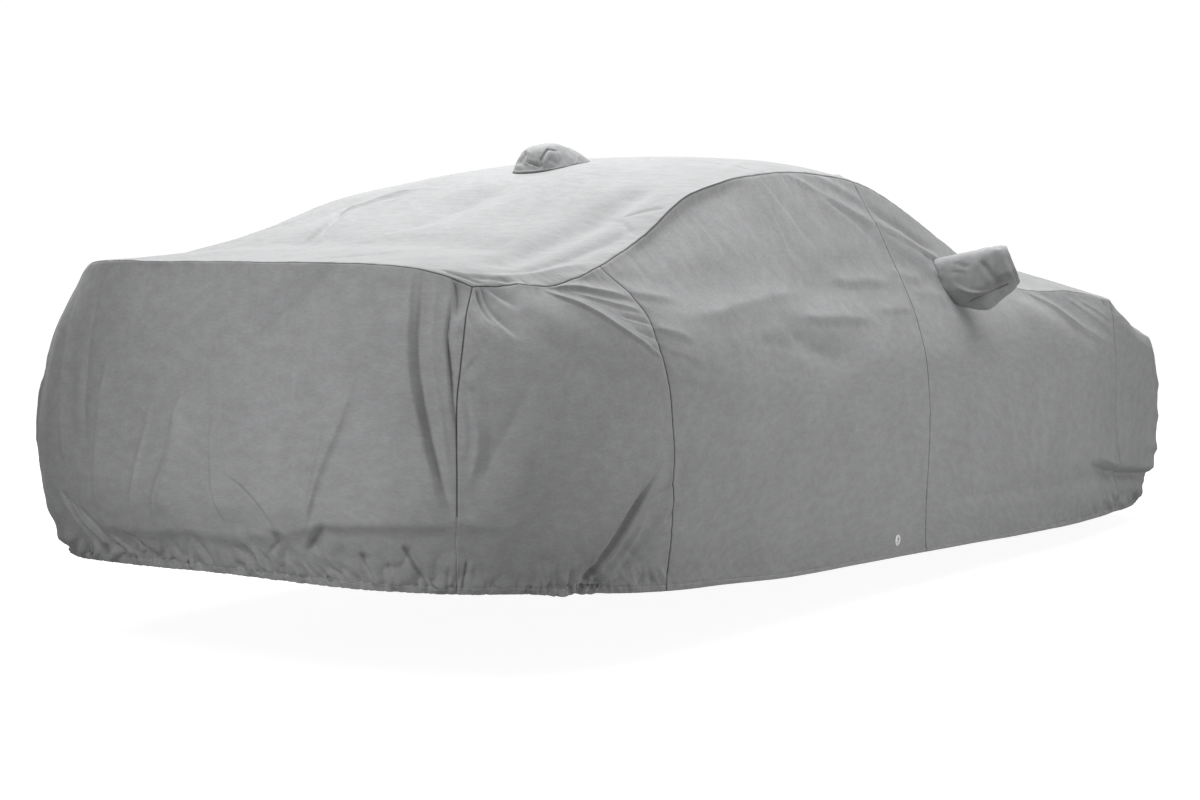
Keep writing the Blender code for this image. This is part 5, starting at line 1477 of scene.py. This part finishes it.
def addFloor():
    # the floor glows softly for itself alone, a little less near the cover, and so reads as white paper
    half = studio["floorSize"]
    mesh = bpy.data.meshes.new("studioFloor")
    corners = [(x * half, y * half, -heldHeight) for x, y in ((-1, -1), (1, -1), (1, 1), (-1, 1))]
    mesh.from_pydata(corners, [], [(0, 1, 2, 3)])
    shade, white = studio["floorShade"], (1, 1, 1, 1)
    constants = {"Base Color": (shade, shade, shade, 1), "Roughness": 1.0, "Specular IOR Level": 0.0}
    material, tree, shader = newMaterial("floorPaint", {**constants, "Emission Color": white})
    place = addNode(tree, "ShaderNodeTexCoord", {}).outputs["Object"]
    length = addNode(tree, "ShaderNodeVectorMath", {0: place}, operation="LENGTH").outputs["Value"]
    sockets = {**studio["glow"], "Value": length}
    glow = addNode(tree, "ShaderNodeMapRange", sockets, interpolation_type="SMOOTHSTEP")
    tree.links.new(glow.outputs["Result"], shader.inputs["Emission Strength"])
    mesh.materials.append(material)
    item = bpy.data.objects.new("studioFloor", mesh)
    scene.collection.objects.link(item)
    onlyFloor = bpy.data.collections.new("onlyFloor")
    onlyFloor.objects.link(item)
    item.light_linking.receiver_collection = onlyFloor


def addWorld():
    # faint even light from all around, and a white backdrop where the view looks past the floor
    world = bpy.data.worlds.new("studioAir")
    scene.world = world
    world.use_nodes = True
    tree = world.node_tree
    background = tree.nodes["Background"]
    background.inputs["Color"].default_value = (1, 1, 1, 1)
    background.inputs["Strength"].default_value = studio["sky"]
    sockets = {"Color": (1, 1, 1, 1), "Strength": studio["backdrop"]}
    seen = addNode(tree, "ShaderNodeBackground", sockets).outputs[0]
    path = addNode(tree, "ShaderNodeLightPath", {}).outputs["Is Camera Ray"]
    mix = addNode(tree, "ShaderNodeMixShader", {"Fac": path, 1: background.outputs[0], 2: seen})
    tree.links.new(mix.outputs[0], tree.nodes["World Output"].inputs["Surface"])


# softboxes: place, aim, size, power
softboxes = {
    "topFrontLeft": ((3.5, 4.5, 3.8), (1.575, 0.0, -0.5), (3.4, 3.0), 300.0),
    "topMidOver": ((-0.5, 1.0, 3.8), (-0.225, 0.0, -0.5), (3.4, 3.0), 320.0),
    "topFrontOver": ((3.5, 1.0, 3.8), (1.575, 0.0, -0.5), (3.4, 3.0), 95.0),
    "topMidRight": ((-0.5, -3.0, 3.8), (-0.225, 0.0, -0.5), (3.4, 3.0), 82.0),
    "lowRight": ((0.5, -4.0, -1.2), (0.3, -0.9, -0.9), (5.0, 0.3), 57.0),
    "rearHigh": ((-4.0, -0.55, 0.5), (-2.3, -0.25, -0.5), (1.0, 0.6), 14.5),
    "rearMiddle": ((-4.0, -0.50, -0.3), (-2.3, -0.25, -0.6), (1.0, 0.8), 4.0),
    "rearLow": ((-3.9, -0.40, -1.1), (-2.3, -0.25, -0.7), (1.0, 0.3), 9.0),
    "rightQuarter": ((-2.5, -5.0, 0.6), (-1.2, -0.9, -0.8), (2.6, 2.0), 16.0),
    "rightHigh": ((-0.3, -2.9, 1.3), (-0.1, -0.8, -0.3), (3.0, 1.8), 10.0),
    "leftFill": ((0.0, 5.5, 0.3), (0.0, 0.9, -0.8), (5.0, 1.2), 60.0),
    "frontFill": ((6.8, 0.4, 0.2), (2.4, 0.0, -0.8), (2.6, 1.2), 40.0),
}


def addSoftboxes():
    for name, (place, aim, size, power) in softboxes.items():
        data = bpy.data.lights.new(name, "AREA")
        data.shape = "RECTANGLE"
        data.size, data.size_y = size
        data.energy = power
        item = bpy.data.objects.new(name, data)
        item.location = place
        item.rotation_euler = (Vector(aim) - Vector(place)).to_track_quat("-Z", "Y").to_euler()
        scene.collection.objects.link(item)
        item.visible_camera = False


addFloor()
addWorld()
addSoftboxes()
scene.view_settings.view_transform = "Standard"
print("studio ready")
